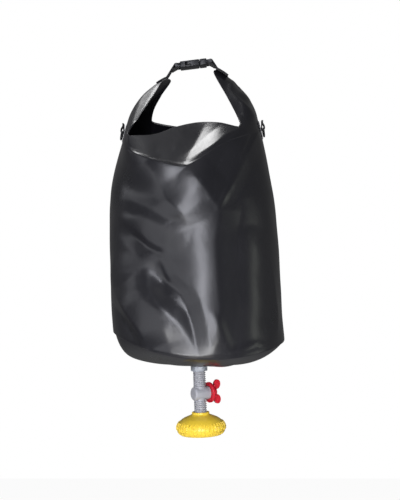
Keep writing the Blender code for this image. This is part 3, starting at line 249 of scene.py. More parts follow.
def catmull(points, at, closed):
    """Points on the smooth curve through rows of points, at the given row numbers."""
    count = len(points)
    start = np.floor(at).astype(int)
    if not closed:
        start = np.clip(start, 0, count - 2)
    t = (at - start)[:, None, None]
    rows = [start + k for k in (-1, 0, 1, 2)]
    rows = [r % count if closed else np.clip(r, 0, count - 1) for r in rows]
    a, b, c, d = (points[r] for r in rows)
    return 0.5 * (2 * b + (c - a) * t + (2 * a - 5 * b + 4 * c - d) * t**2 + (3 * b - a - 3 * c + d) * t**3)


def wall_cage():
    """Rows of points round the bag from the rim to the lip."""
    side = COLUMNS // 2
    angles = np.array([(k + 0.5) * pi / side for k in range(COLUMNS)])
    x = STEM_FOOT[0] + RIM_RADIUS * np.cos(angles)
    y = RIM_RADIUS * np.sin(angles)
    z = RIM_HEIGHT + RIM_SLOPE * (x - STEM_FOOT[0]) - RIM_SAG * (y / RIM_RADIUS) ** 2
    rows = [np.stack([x, y, z], 1)]
    for height, left, right, depth, dip in SECTIONS:
        x = (left + right) / 2 + (right - left) / 2 * np.cos(angles)
        rows.append(np.stack([x, depth * np.sin(angles), height - dip * np.sin(angles) ** 2], 1))
    fold = np.array(BACK_FOLD + FRONT_FOLD, float)
    lip = np.array(BACK_LIP + FRONT_LIP, float)
    rows.append(fold)
    for t in EAR_STEPS:
        row = fold + (lip - fold) * t
        for start, sign in ((0, 1), (side, -1)):
            for step, bow in enumerate(EAR_BOW):
                out = np.array((sign * BOW_OUT, 0, BOW_UP)) * bow * 4 * t * (1 - t)
                row[(start + step) % COLUMNS] += out
                row[(start - 1 - step) % COLUMNS] += out
        rows.append(row)
    rows.append(lip)
    return np.array(rows) * MM


CAGE = wall_cage()


def plain_surface(across, rows, crisp):
    """The wall before its creases; crisp is how sharp the fold below the mouth is."""
    across, rows = np.asarray(across, float), np.asarray(rows, float)
    smooth = catmull(CAGE, rows, False)
    below = catmull(CAGE[: FOLD_ROW + 1], np.minimum(rows, FOLD_ROW), False)
    above = catmull(CAGE[FOLD_ROW:], np.maximum(rows - FOLD_ROW, 0), False)
    sharp = np.where((rows <= FOLD_ROW)[:, None, None], below, above)
    turned = (level.transpose(1, 0, 2) for level in (smooth, sharp))
    around = [catmull(level, across * COLUMNS, True).transpose(1, 0, 2) for level in turned]
    share = (np.interp(across % 1, *FOLD_SHARPNESS) * crisp)[None, :, None]
    return around[0] * (1 - share) + around[1] * share


def unit(ways):
    return ways / np.maximum(np.linalg.norm(ways, axis=-1, keepdims=True), 1e-12)


def ways_out(across, rows, crisp):
    """Directions out of the bag."""
    across, rows = np.asarray(across, float), np.asarray(rows, float)
    high, low = np.minimum(rows + ROW_STEP, LIP_ROW), np.maximum(rows - ROW_STEP, 0)
    after, before = (plain_surface(across + step, rows, crisp) for step in (ACROSS_STEP, -ACROSS_STEP))
    rise = plain_surface(across, high, crisp) - plain_surface(across, low, crisp)
    return unit(np.cross(after - before, rise))


def crease_heights(x, y, creases):
    """How far a set of creases lifts points on the front grid, in millimetres."""
    total = np.zeros_like(x)
    for height, left, right, point, line in creases.values():
        line = np.array(line, float)
        spans = np.linalg.norm(np.diff(line, axis=0), axis=1)
        whole = spans.sum()
        best, width, run = np.full_like(x, np.inf), np.full_like(x, left), np.zeros_like(x)
        for (ax, ay), (bx, by), length, before in zip(line[:-1], line[1:], spans, np.cumsum(spans) - spans):
            tx, ty = (bx - ax) / length, (by - ay) / length
            t = np.clip((x - ax) * tx + (y - ay) * ty, 0, length)
            away = np.hypot(x - ax - tx * t, y - ay - ty * t)
            side = tx * (y - ay) - ty * (x - ax)
            near = away < best
            best = np.where(near, away, best)
            width = np.where(near, np.where(side > 0, left, right), width)
            run = np.where(near, before + t, run)
        ends = np.clip(np.minimum(run, whole - run) / min(CREASE_TAPER, whole / 2), 0, 1)
        away = np.clip(best / width, 0, 1)
        form = (1 - away) ** point if point else (1 - away**2) ** 2
        total += height * form * (CREASE_END + (1 - CREASE_END) * np.sin(ends * pi / 2))
    return total


def smoothstep(low, high, value):
    t = np.clip((value - low) / (high - low), 0, 1)
    return t * t * (3 - 2 * t)


def bag_surface(across, rows, crisp=1.0, depth=1.0):
    """Points on the creased wall, and the ways out of it."""
    plain, out = plain_surface(across, rows, crisp), ways_out(across, rows, crisp)
    x, y, z = (plain / MM).transpose(2, 0, 1)
    scale = GRID_STEP * (CAMERA_AWAY + y) / CAMERA_AWAY
    grid = GRID_X + (x - CAMERA_X) / scale, GRID_Y - (z - CAMERA_Z) / scale
    facing, rows = out[..., 1], np.asarray(rows, float)[:, None]
    body = 1 - smoothstep(*BODY_FADE, rows - FOLD_ROW)
    mouth = smoothstep(*MOUTH_FADE, rows - FOLD_ROW)
    lip = 1 - LIP_LOSS * smoothstep(LIP_ROW - LIP_FADE, LIP_ROW, rows)
    lift = smoothstep(*BODY_TURN, -facing) * body * crease_heights(*grid, BODY_CREASES)
    lift += smoothstep(*MOUTH_TURN, -facing) * mouth * lip * crease_heights(*grid, MOUTH_CREASES)
    lift += smoothstep(*BODY_TURN, facing) * body * crease_heights(*grid, BACK_CREASES)
    lift -= FOOT_TUCK * np.clip(1 - rows / FOOT_TUCK_ROWS, 0, 1) ** 2
    lift += RIPPLE * body * np.sin(x / 17 + z / 23 + y / 13) * np.sin(z / 19 - x / 29 + 1.3)
    return plain + out * (lift * depth * MM)[..., None], out


# Meshes


def placed(name, data):
    """A new object in the scene."""
    made = bpy.data.objects.new(name, data)
    bpy.context.scene.collection.objects.link(made)
    return made


def shaded(mesh, angle=SHARP):
    """Smooth shading that keeps sharp edges."""
    mesh.shade_smooth()
    if angle < NEVER_SHARP:
        mesh.set_sharp_from_angle(angle=radians(angle))


def mesh_object(name, points, faces, angle=NEVER_SHARP, uv=None):
    mesh = bpy.data.meshes.new(name)
    mesh.from_pydata([tuple(p) for p in points], [], faces)
    mesh.validate()
    if uv is not None:
        layer = mesh.uv_layers.new(name="Surface")
        layer.data.foreach_set("uv", np.asarray(uv, float).ravel())
    shaded(mesh, angle)
    return placed(name, mesh)


def tube_faces(rows, columns, ring):
    """Faces between rings of points, the last ring joined to the first where it is a closed ring."""
    faces = []
    for i in range(rows if ring else rows - 1):
        n = (i + 1) % rows
        for j in range(columns):
            k = (j + 1) % columns
            faces.append((i * columns + j, i * columns + k, n * columns + k, n * columns + j))
    return faces


def shell(name, middle, out, thickness, offset, u, v, wrapped):
    """A sheet of the given thickness on a grid of points, with its lengths as its UV map."""
    rows, columns = middle.shape[:2]
    points = np.concatenate([
        (middle + out * (offset + thickness / 2)).reshape(-1, 3),
        (middle + out * (offset - thickness / 2)).reshape(-1, 3),
    ])
    inner = rows * columns
    faces, uv = [], []

    def face(corners, places):
        faces.append(corners)
        uv.extend(places)

    spans = columns if wrapped else columns - 1
    for i in range(rows - 1):
        for j in range(spans):
            a, b = i * columns + j, i * columns + (j + 1) % columns
            places = ((u[j], v[i]), (u[j + 1], v[i]), (u[j + 1], v[i + 1]), (u[j], v[i + 1]))
            face((a, b, b + columns, a + columns), places)
            face((a + columns + inner, b + columns + inner, b + inner, a + inner), reversed(places))
    top = (rows - 1) * columns
    for j in range(spans):
        k = (j + 1) % columns
        low, high = ((u[j], v[0]), (u[j + 1], v[0])), ((u[j], v[-1]), (u[j + 1], v[-1]))
        face((k, j, j + inner, k + inner), (low[1], low[0], low[0], low[1]))
        face((top + j, top + k, top + k + inner, top + j + inner), (high[0], high[1], high[1], high[0]))
    if not wrapped:
        last = columns - 1
        for i in range(rows - 1):
            a, b = i * columns, (i + 1) * columns
            first, end = ((u[0], v[i]), (u[0], v[i + 1])), ((u[-1], v[i]), (u[-1], v[i + 1]))
            face((a, b, b + inner, a + inner), (first[0], first[1], first[1], first[0]))
            face((b + last, a + last, a + last + inner, b + last + inner), (end[1], end[0], end[0], end[1]))
    made = mesh_object(name, points, faces, SHEET_SHARP, uv)
    # A mask on the top row of points for the painted highlight along the cut edge.
    edge = made.data.attributes.new("cut_edge", "FLOAT", "POINT")
    edge_highlight_mask = np.zeros((2, rows, columns))
    edge_highlight_mask[:, -1] = 1
    edge.data.foreach_set("value", edge_highlight_mask.ravel())
    return made


def lengths(points):
    """Running length along a list of points, from zero."""
    steps = np.linalg.norm(np.diff(points, axis=0), axis=1)
    return np.concatenate([[0], np.cumsum(steps)])


def cleaned(mesh, merge=True):
    """Turns a mesh's faces outwards, after its doubles are merged."""
    body = bmesh.new()
    body.from_mesh(mesh)
    if merge:
        bmesh.ops.remove_doubles(body, verts=body.verts, dist=MERGE)
        bmesh.ops.dissolve_degenerate(body, edges=body.edges, dist=SLIVER)
    bmesh.ops.recalc_face_normals(body, faces=body.faces)
    body.to_mesh(mesh)
    body.free()


def lathe(name, profile, place, steps):
    """A closed profile of radius and height in millimetres turned round Z, then put in its place."""
    points = []
    for k in range(steps):
        angle = 2 * pi * k / steps
        points += [(r * MM * cos(angle), r * MM * sin(angle), z * MM) for r, z in profile]
    made = mesh_object(name, points, tube_faces(steps, len(profile), True), SHARP)
    cleaned(made.data)
    made.data.transform(place)
    shaded(made.data)
    return made


def applied(made):
    """Turns an object's modifiers into its plain mesh."""
    bpy.context.view_layer.update()
    graph = bpy.context.evaluated_depsgraph_get()
    mesh = bpy.data.meshes.new_from_object(made.evaluated_get(graph))
    made.modifiers.clear()
    old, made.data = made.data, mesh
    mesh.name = made.name
    bpy.data.meshes.remove(old)
    return made


def skinned(made, voxel, relax):
    """Gives an object one moulded skin, with its edges softened, as its plain mesh."""
    skin = made.modifiers.new("skin", "REMESH")
    skin.mode, skin.voxel_size, skin.use_smooth_shade = "VOXEL", voxel, True
    soft = made.modifiers.new("relax", "SMOOTH")
    soft.factor, soft.iterations = 0.5, relax
    return applied(made)


def carried(name, node, bevel=0.0, voxel=0.0):
    """A finished copy of a CAD node: merged, then with soft edges or a moulded skin."""
    made = placed(name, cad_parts[node].data.copy())
    made.data.materials.clear()
    cleaned(made.data)
    shaded(made.data)
    if voxel:
        skinned(made, voxel, 2)
        made.data.shade_smooth()
    elif bevel:
        edge = made.modifiers.new("edge", "BEVEL")
        edge.width, edge.segments = bevel, 3
        edge.limit_method, edge.angle_limit = "ANGLE", radians(40)
        applied(made)
        shaded(made.data)
    return made


def dress(made, body, finish_name, *nodes, slot=None):
    """Gives a finished piece its material and body, and hides the nodes that it stands for. Its slot is not
    used.
    """
    made.data.materials.clear()
    made.data.materials.append(finish(finish_name))
    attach(made, body)
    if nodes:
        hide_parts(*nodes)
    return made


def join_meshes(name, pieces):
    """One object from several that have their place in their meshes."""
    whole = bmesh.new()
    for piece in pieces:
        whole.from_mesh(piece.data)
    mesh = bpy.data.meshes.new(name)
    whole.to_mesh(mesh)
    whole.free()
    for piece in pieces:
        bpy.data.objects.remove(piece)
    shaded(mesh)
    return placed(name, mesh)


def ribbon(name, centres, across, width, thickness):
    """Webbing along a path, with rounded selvedges, its length and width as its UV map."""
    centres, across = np.asarray(centres, float), unit(np.asarray(across, float))
    ahead = unit(np.gradient(centres, axis=0))
    across = unit(across - ahead * (across * ahead).sum(1, keepdims=True))
    face = np.cross(ahead, across)
    half, thick = width / 2, thickness / 2
    ring = []
    for sign in (1, -1):
        for k in range(9):
            ring.append((sign * (-half + thick + (width - 2 * thick) * k / 8), sign * thick))
        for k in range(1, 4):
            angle = k * pi / 4
            ring.append((sign * (half - thick + thick * sin(angle)), sign * thick * cos(angle)))
    ring = np.array(ring)
    count, steps = len(ring), len(centres)
    points = centres[:, None] + across[:, None] * ring[None, :, :1] + face[:, None] * ring[None, :, 1:]
    faces = tube_faces(steps, count, False)
    faces.append(tuple(reversed(range(count))))
    faces.append(tuple((steps - 1) * count + j for j in range(count)))
    v = lengths(centres)
    uv = [(ring[spot % count, 0], v[spot // count]) for corners in faces for spot in corners]
    made = mesh_object(name, points.reshape(-1, 3), faces, RIBBON_SHARP, uv)
    cleaned(made.data, merge=False)
    return made


def smooth_path(points, count):
    """Evenly spaced points on a smooth curve through the given ones."""
    points = np.asarray(points, float)
    fine = catmull(points[:, None, :], np.linspace(0, len(points) - 1, 20 * len(points)), False)[:, 0]
    run = lengths(fine)
    at = np.linspace(0, run[-1], count)
    return np.stack([np.interp(at, run, fine[:, k]) for k in range(points.shape[1])], 1)


# Node trees


def fill(tree, node, values):
    """Sets a node's inputs, or links them where the value is another node's output."""
    for key, value in values.items():
        if isinstance(value, bpy.types.NodeSocket):
            tree.links.new(value, node.inputs[key])
        else:
            node.inputs[key].default_value = value
    return node


def add(tree, kind, values=None, **settings):
    """A node with its settings, and its inputs set or linked."""
    made = tree.nodes.new(kind)
    for key, value in settings.items():
        setattr(made, key, value)
    return fill(tree, made, values or {})


def maths(tree, operation, *values):
    return add(tree, "ShaderNodeMath", dict(enumerate(values)), operation=operation).outputs[0]


def times(tree, first, second):
    return maths(tree, "MULTIPLY", first, second)


def noise(tree, vector, scale, detail, **more):
    values = {"Vector": vector, "Scale": scale, "Detail": detail, **more}
    return add(tree, "ShaderNodeTexNoise", values).outputs["Fac"]


def ranged(tree, value, low, high, to_low=0.0, to_high=1.0):
    """A value moved from one range to another."""
    values = {"Value": value, "From Min": low, "From Max": high, "To Min": to_low, "To Max": to_high}
    return add(tree, "ShaderNodeMapRange", values).outputs["Result"]


def bump(tree, height, strength, distance, **more):
    values = {"Height": height, "Strength": strength, "Distance": distance, **more}
    return add(tree, "ShaderNodeBump", values).outputs["Normal"]


def group(name, kind, inputs, outputs):
    """An empty node group with named sockets: its tree, what it is given and its end."""
    tree = bpy.data.node_groups.new(name, kind)
    for side, rows in (("INPUT", inputs), ("OUTPUT", outputs)):
        for label, socket, *default in rows:
            made = tree.interface.new_socket(name=label, in_out=side, socket_type="NodeSocket" + socket)
            if default:
                made.default_value = default[0]
    return tree, tree.nodes.new("NodeGroupInput").outputs, tree.nodes.new("NodeGroupOutput")


def weave_group():
    """Plain weave that shows faintly through a coating."""
    inputs = [("Vector", "Vector"), ("Threads", "Float", 900.0)]
    tree, given, end = group("Coated weave", "ShaderNodeTree", inputs, [("Height", "Float")])
    place = add(tree, "ShaderNodeSeparateXYZ", {0: given["Vector"]}).outputs
    turn = times(tree, given["Threads"], pi)
    warp = maths(tree, "SINE", times(tree, place["X"], turn))
    weft = maths(tree, "SINE", times(tree, place["Y"], turn))
    fill(tree, end, {"Height": times(tree, warp, weft)})
    return tree


def handling_group():
    """Slow patches and fine scuffs from handling."""
    inputs = [("Vector", "Vector"), ("Patches", "Float", 14.0), ("Scuffs", "Float", 160.0)]
    outputs = [("Shade", "Float"), ("Scuff", "Float")]
    tree, given, end = group("Handling marks", "ShaderNodeTree", inputs, outputs)
    slow = noise(tree, given["Vector"], given["Patches"], 4.0, Roughness=0.6)
    turned = {"Vector": given["Vector"], "Rotation": (0.3, 0.5, 0.6), "Scale": (1.0, 0.14, 0.5)}
    stretch = add(tree, "ShaderNodeMapping", turned).outputs["Vector"]
    fine = noise(tree, stretch, given["Scuffs"], 6.0, Roughness=0.7)
    fill(tree, end, {"Shade": slow, "Scuff": ranged(tree, fine, 0.58, 0.75)})
    return tree


def grain_group():
    """Spark grain of a moulded part, with a slow unevenness of its colour."""
    inputs = [("Vector", "Vector"), ("Grain", "Float", 2600.0)]
    tree, given, end = group(
        "Moulded grain", "ShaderNodeTree", inputs, [("Height", "Float"), ("Shade", "Float")])
    fine = noise(tree, given["Vector"], given["Grain"], 2.0)
    fill(tree, end, {"Height": fine, "Shade": noise(tree, given["Vector"], 70.0, 3.0)})
    return tree


def webbing_group():
    """Herringbone ribs of flat webbing."""
    inputs = [("Vector", "Vector"), ("Ribs", "Float", 620.0), ("Chevrons", "Float", 160.0)]
    tree, given, end = group(
        "Webbing ribs", "ShaderNodeTree", inputs, [("Height", "Float"), ("Shade", "Float")])
    place = add(tree, "ShaderNodeSeparateXYZ", {0: given["Vector"]}).outputs
    chevron = maths(tree, "PINGPONG", times(tree, place["X"], given["Chevrons"]), 0.5)
    slant = maths(tree, "ADD", times(tree, place["Y"], given["Ribs"]), times(tree, chevron, 2.0))
    rib = maths(tree, "SINE", times(tree, slant, 2 * pi))
    column = maths(tree, "SINE", times(tree, place["X"], 2 * pi * 1100))
    height = maths(tree, "ADD", times(tree, rib, 0.6), times(tree, column, 0.4))
    fill(tree, end, {"Height": height, "Shade": noise(tree, given["Vector"], 500.0, 5.0)})
    return tree


GROUP_MAKERS = {
    "Coated weave": weave_group,
    "Handling marks": handling_group,
    "Moulded grain": grain_group,
    "Webbing ribs": webbing_group,
}


def shared(tree, name, values):
    """A shared group placed in a material, with its own values."""
    made = add(tree, "ShaderNodeGroup", node_tree=bpy.data.node_groups.get(name) or GROUP_MAKERS[name]())
    return fill(tree, made, values).outputs


def object_place(tree):
    return add(tree, "ShaderNodeTexCoord").outputs["Object"]


def surface_place(tree):
    return add(tree, "ShaderNodeUVMap", uv_map="Surface").outputs["UV"]


def new_material(name, values):
    made = bpy.data.materials.new(name)
    made.use_nodes = True
    tree = made.node_tree
    return made, tree, fill(tree, tree.nodes["Principled BSDF"], values)


def mixed(tree, factor, dark, light):
    """A colour between two, each a colour or a socket."""
    ends = {
        key: value if isinstance(value, bpy.types.NodeSocket) else (*value, 1)
        for key, value in ((6, dark), (7, light))
    }
    return add(tree, "ShaderNodeMix", {0: factor, **ends}, data_type="RGBA").outputs[2]


def scaled(colour, by):
    return tuple(by * c for c in colour)


def pvc_material(name):
    """Black coated fabric: semi-gloss, with a faint weave, scuffs and a painted highlight along its cut edge.
    """
    settings = bpy.context.scene.dry_bag_finish
    made, tree, shader = new_material(name, {"IOR": 1.5, "Coat Weight": 0.15, "Coat Roughness": 0.25})
    place, dark, gloss = object_place(tree), tuple(settings.pvc_colour), settings.pvc_gloss
    threads = {"Vector": surface_place(tree), "Threads": 1 / settings.thread_spacing}
    weave = shared(tree, "Coated weave", threads)["Height"]
    marks = shared(tree, "Handling marks", {"Vector": place, "Patches": 11.0, "Scuffs": 130.0})
    colour = mixed(tree, marks["Shade"], scaled(dark, 0.8), scaled(dark, 1.25))
    colour = mixed(tree, times(tree, marks["Scuff"], 0.25), colour, scaled(dark, 3.0))
    # Painted highlight: the top row of each sheet, its cut edge, is painted pale grey as if light caught it.
    edge = add(tree, "ShaderNodeAttribute", attribute_name="cut_edge").outputs["Fac"]
    colour = mixed(tree, times(tree, edge, 0.8), colour, (0.30, 0.30, 0.30))
    rough = ranged(tree, marks["Shade"], 0.3, 0.7, gloss - 0.05, gloss + 0.06)
    rough = maths(tree, "ADD", rough, times(tree, marks["Scuff"], 0.08))
    ripple = bump(tree, noise(tree, place, 90.0, 3.0), 0.25, 0.0006)
    normal = bump(tree, weave, 0.12, 0.00005, Normal=ripple)
    fill(tree, shader, {"Base Color": colour, "Roughness": rough, "Normal": normal})
    return made


def webbing_material(name):
    dark = tuple(bpy.context.scene.dry_bag_finish.webbing_colour)
    values = {"Roughness": 0.8, "Sheen Weight": 0.1, "Sheen Roughness": 0.5}
    made, tree, shader = new_material(name, values)
    ribs = shared(tree, "Webbing ribs", {"Vector": surface_place(tree)})
    colour = mixed(tree, ribs["Shade"], scaled(dark, 0.6), scaled(dark, 1.5))
    # Painted highlight: the crests of the raised ribs are painted lighter, as if they caught the light.
    high = ranged(tree, ribs["Height"], -1.0, 1.0, 0.0, 0.5)
    colour = mixed(tree, high, colour, scaled(dark, 2.4))
    fill(tree, shader, {"Base Color": colour, "Normal": bump(tree, ribs["Height"], 0.8, 0.00025)})
    return made


def plastic_material(name, colour, roughness, spread, grain, rub):
    """Moulded plastic with a fine grain, an uneven tint and edges rubbed pale."""
    if isinstance(colour, str):
        colour = tuple(getattr(bpy.context.scene.dry_bag_finish, colour))
    made, tree, shader = new_material(name, {"IOR": 1.48})
    place = object_place(tree)
    skin = shared(tree, "Moulded grain", {"Vector": place})
    marks = shared(tree, "Handling marks", {"Vector": place, "Patches": 60.0, "Scuffs": 420.0})
    light = tuple(min(1, c) for c in scaled(colour, 1 + spread))
    tint = mixed(tree, skin["Shade"], scaled(colour, 1 - spread), light)
    worn = add(tree, "ShaderNodeNewGeometry").outputs["Pointiness"]
    pale = tuple(c + (1 - c) * 0.4 for c in colour)
    tint = mixed(tree, ranged(tree, worn, 0.53, 0.62, 0.0, rub), tint, pale)
    rough = maths(tree, "ADD", times(tree, marks["Scuff"], 0.14), roughness)
    normal = bump(tree, skin["Height"], grain, 0.00004)
    fill(tree, shader, {"Base Color": tint, "Roughness": rough, "Normal": normal})
    return made


def rubber_material(name):
    made, tree, shader = new_material(name, {"IOR": 1.45})
    skin = shared(tree, "Moulded grain", {"Vector": object_place(tree), "Grain": 1500.0})
    tint = mixed(tree, skin["Shade"], (0.012, 0.012, 0.012), (0.035, 0.034, 0.033))
    rough = ranged(tree, skin["Shade"], 0.0, 1.0, 0.6, 0.8)
    normal = bump(tree, skin["Height"], 0.5, 0.00005)
    fill(tree, shader, {"Base Color": tint, "Roughness": rough, "Normal": normal})
    return made


def steel_material(name):
    made, tree, shader = new_material(name, {"Metallic": 1.0})
    values = {"Vector": object_place(tree), "Patches": 200.0, "Scuffs": 900.0}
    marks = shared(tree, "Handling marks", values)
    tint = mixed(tree, marks["Shade"], (0.42, 0.42, 0.43), (0.62, 0.62, 0.63))
    rough = maths(tree, "ADD", times(tree, marks["Scuff"], 0.2), 0.24)
    fill(tree, shader, {"Base Color": tint, "Roughness": rough})
    return made


# Each finish: its maker, and for moulded plastic its colour or the setting that holds it, its roughness,
# the spread of its tint, the strength of its grain and how far its edges are rubbed pale
FINISHES = {
    "black_pvc": (pvc_material,),
    "black_webbing": (webbing_material,),
    "black_acetal": (plastic_material, "buckle_colour", 0.42, 0.2, 0.12, 0.02),
    "stitch_thread": (plastic_material, (0.035, 0.035, 0.038), 0.7, 0.3, 0.6, 0.0),
    "grey_plastic": (plastic_material, "valve_colour", 0.42, 0.12, 0.3, 0.06),
    "grey_nut": (plastic_material, "nut_colour", 0.38, 0.12, 0.3, 0.15),
    "white_plastic": (plastic_material, (0.62, 0.62, 0.60), 0.35, 0.12, 0.3, 0.15),
    "red_plastic": (plastic_material, "handle_colour", 0.3, 0.1, 0.25, 0.1),
    "yellow_plastic": (plastic_material, "head_colour", 0.36, 0.06, 0.25, 0.05),
    "black_rubber": (rubber_material,),
    "steel": (steel_material,),
}


def finish(name):
    """A material by name, made the first time that it is asked for."""
    maker, *values = FINISHES[name]
    return bpy.data.materials.get(name + "_finish") or maker(name + "_finish", *values)


def grown(name, tree, values, base=None):
    """Runs a geometry tree on a mesh, and keeps the result as a plain one."""
    made = placed(name, base or bpy.data.meshes.new(name))
    modifier = made.modifiers.new(tree.name, "NODES")
    modifier.node_group = tree
    sockets = {item.name: item.identifier for item in tree.interface.items_tree if item.in_out == "INPUT"}
    for key, value in values.items():
        modifier[sockets[key]] = value
    return applied(made)


def geometry_group(name, inputs):
    """A group that turns a mesh into another, with its material as its last input."""
    inputs = [("Geometry", "Geometry"), *inputs, ("Material", "Material")]
    return group(name, "GeometryNodeTree", inputs, [("Geometry", "Geometry")])


def geometry_end(tree, geometry, material, end):
    real = add(tree, "GeometryNodeRealizeInstances", {0: geometry})
    painted = add(tree, "GeometryNodeSetMaterial", {"Geometry": real.outputs[0], "Material": material})
    fill(tree, end, {"Geometry": painted.outputs[0]})
    return tree


def swept(tree, curve, radius, corners, profile):
    """A round bar along a curve, thick as the radius says along it."""
    sized = add(tree, "GeometryNodeSetCurveRadius", {"Curve": curve, "Radius": radius})
    ring = add(tree, "GeometryNodeCurvePrimitiveCircle", {"Resolution": corners, "Radius": profile})
    values = {"Curve": sized.outputs[0], "Profile Curve": ring.outputs[0], "Fill Caps": True}
    return add(tree, "GeometryNodeCurveToMesh", values).outputs[0]


def thread_tree():
    """A helical ridge of thread that fades out at both ends."""
    sizes = [("Radius", "Float"), ("Pitch", "Float"), ("Turns", "Float"), ("Ridge", "Float")]
    tree, given, end = geometry_group("Screw thread", sizes)
    height = times(tree, given["Pitch"], given["Turns"])
    values = {"Resolution": 48, "Rotations": given["Turns"], "Height": height}
    radii = {"Start Radius": given["Radius"], "End Radius": given["Radius"]}
    helix = add(tree, "GeometryNodeCurveSpiral", {**values, **radii})
    along = add(tree, "GeometryNodeSplineParameter").outputs["Factor"]
    ends = maths(tree, "MINIMUM", along, maths(tree, "SUBTRACT", 1.0, along))
    fade = maths(tree, "MINIMUM", times(tree, ends, 14.0), 1.0)
    ridge = swept(tree, helix.outputs[0], fade, 8, given["Ridge"])
    return geometry_end(tree, ridge, given["Material"], end)


def stitch_tree():
    """Stitches laid end to end along lines."""
    tree, given, end = geometry_group("Stitch line", [("Pitch", "Float"), ("Thickness", "Float")])
    line = add(tree, "GeometryNodeMeshToCurve", {"Mesh": given["Geometry"]})
    even = {"Curve": line.outputs[0], "Length": given["Pitch"]}
    even = add(tree, "GeometryNodeResampleCurve", even, mode="LENGTH")
    spots = add(tree, "GeometryNodeCurveToPoints", {"Curve": even.outputs[0]}, mode="EVALUATED").outputs
    turn = add(tree, "FunctionNodeAlignRotationToVector", {"Vector": spots["Tangent"]}, axis="X")
    bead = add(tree, "GeometryNodeMeshUVSphere", {"Segments": 8, "Rings": 6, "Radius": 0.5})
    thick = given["Thickness"]
    size = add(tree, "ShaderNodeCombineXYZ", {"X": times(tree, given["Pitch"], 0.84), "Y": thick, "Z": thick})
    values = {"Points": spots["Points"], "Instance": bead.outputs[0]}
    values.update({"Rotation": turn.outputs[0], "Scale": size.outputs[0]})
    laid = add(tree, "GeometryNodeInstanceOnPoints", values)
    smooth = add(tree, "GeometryNodeSetShadeSmooth", {"Geometry": laid.outputs[0]})
    return geometry_end(tree, smooth.outputs[0], given["Material"], end)


def grip_tree():
    """Upright ribs set round a circle."""
    tree, given, end = geometry_group("Grip ribs", [("Count", "Int"), ("Width", "Float")])
    line = add(tree, "GeometryNodeMeshToCurve", {"Mesh": given["Geometry"]})
    along = add(tree, "GeometryNodeSplineParameter").outputs["Factor"]
    belly = maths(tree, "POWER", maths(tree, "SINE", times(tree, along, pi)), 0.35)
    rib = swept(tree, line.outputs[0], maths(tree, "MAXIMUM", belly, 0.05), 10, given["Width"])
    spots = add(tree, "GeometryNodePoints", {"Count": given["Count"]})
    number = add(tree, "GeometryNodeInputIndex").outputs[0]
    step = maths(tree, "DIVIDE", times(tree, number, 2 * pi), given["Count"])
    turn = add(tree, "ShaderNodeCombineXYZ", {"Z": step})
    values = {"Points": spots.outputs[0], "Instance": rib, "Rotation": turn.outputs[0]}
    laid = add(tree, "GeometryNodeInstanceOnPoints", values)
    smooth = add(tree, "GeometryNodeSetShadeSmooth", {"Geometry": laid.outputs[0]})
    return geometry_end(tree, smooth.outputs[0], given["Material"], end)


def spray_tree():
    """Rings of holes cut through a plate."""
    tree, given, end = geometry_group("Spray holes", [("Hole radius", "Float"), ("Spacing", "Float")])
    values = {"Vertices": 16, "Radius": given["Hole radius"], "Depth": HOLE_CUT}
    pin = add(tree, "GeometryNodeMeshCylinder", values).outputs["Mesh"]
    rings = add(tree, "GeometryNodeJoinGeometry")
    for number in (1, 2, 3):
        radius = times(tree, given["Spacing"], float(number))
        circle = add(tree, "GeometryNodeMeshCircle", {"Vertices": 6 * number, "Radius": radius}).outputs[0]
        laid = add(tree, "GeometryNodeInstanceOnPoints", {"Points": circle, "Instance": pin})
        tree.links.new(laid.outputs[0], rings.inputs[0])
    real = add(tree, "GeometryNodeRealizeInstances", {0: rings.outputs[0]})
    values = {"Mesh 1": given["Geometry"], "Mesh 2": real.outputs[0]}
    cut = add(tree, "GeometryNodeMeshBoolean", values, operation="DIFFERENCE")
    return geometry_end(tree, cut.outputs["Mesh"], given["Material"], end)


# Settings


def count_setting(name, description, default, low, high):
    return bpy.props.IntProperty(name=name, description=description, default=default, min=low, max=high)


def share_setting(name, description, default, low=0.0, high=1.0):
    return bpy.props.FloatProperty(
        name=name, description=description, default=default, min=low, max=high, subtype="FACTOR")


def length_setting(name, description, default):
    return bpy.props.FloatProperty(
        name=name, description=description, default=default, unit="LENGTH", precision=4)


def power_setting(name, description, default):
    return bpy.props.FloatProperty(name=name, description=description, default=default, unit="POWER")


def colour_setting(name, description, default):
    return bpy.props.FloatVectorProperty(
        name=name, description=description, default=default, min=0, max=1, subtype="COLOR")


class DryBagShape(bpy.types.PropertyGroup):
    wall_columns: count_setting(
        "Wall columns", "Columns of the wall in front; the back has half as many", 150, 60, 170)
    crease_depth: share_setting("Crease depth", "Share of the full height of the creases", 1.0, 0.0, 1.5)
    fold_sharpness: share_setting("Fold sharpness", "How crisp the fold below the mouth is", 1.0)
    stitch_pitch: length_setting("Stitch pitch", "Distance from stitch to stitch", 0.0028)
    rib_count: count_setting("Grip ribs", "Ribs round the shower head", 40, 12, 90)
    hole_radius: length_setting("Spray hole radius", "Radius of each hole in the rose", 0.0007)


class DryBagFinish(bpy.types.PropertyGroup):
    pvc_colour: colour_setting("Bag", "Coated fabric of the bag", (0.011, 0.011, 0.014))
    pvc_gloss: share_setting("Bag roughness", "Roughness of the coated fabric", 0.31, 0.1, 0.9)
    thread_spacing: length_setting("Thread spacing", "Distance between the threads under the coating", 0.0011)
    webbing_colour: colour_setting("Webbing", "Straps and tab loops", (0.014, 0.014, 0.016))
    buckle_colour: colour_setting("Buckle", "Buckle and rings", (0.013, 0.014, 0.017))
    valve_colour: colour_setting("Valve", "Stem and valve body", (0.360, 0.365, 0.400))
    nut_colour: colour_setting("Nuts", "Lock nut and inner nut", (0.310, 0.335, 0.385))
    handle_colour: colour_setting("Handle", "Wing handle", (0.620, 0.012, 0.030))
    head_colour: colour_setting("Head", "Shower head and rose", (0.880, 0.620, 0.050))


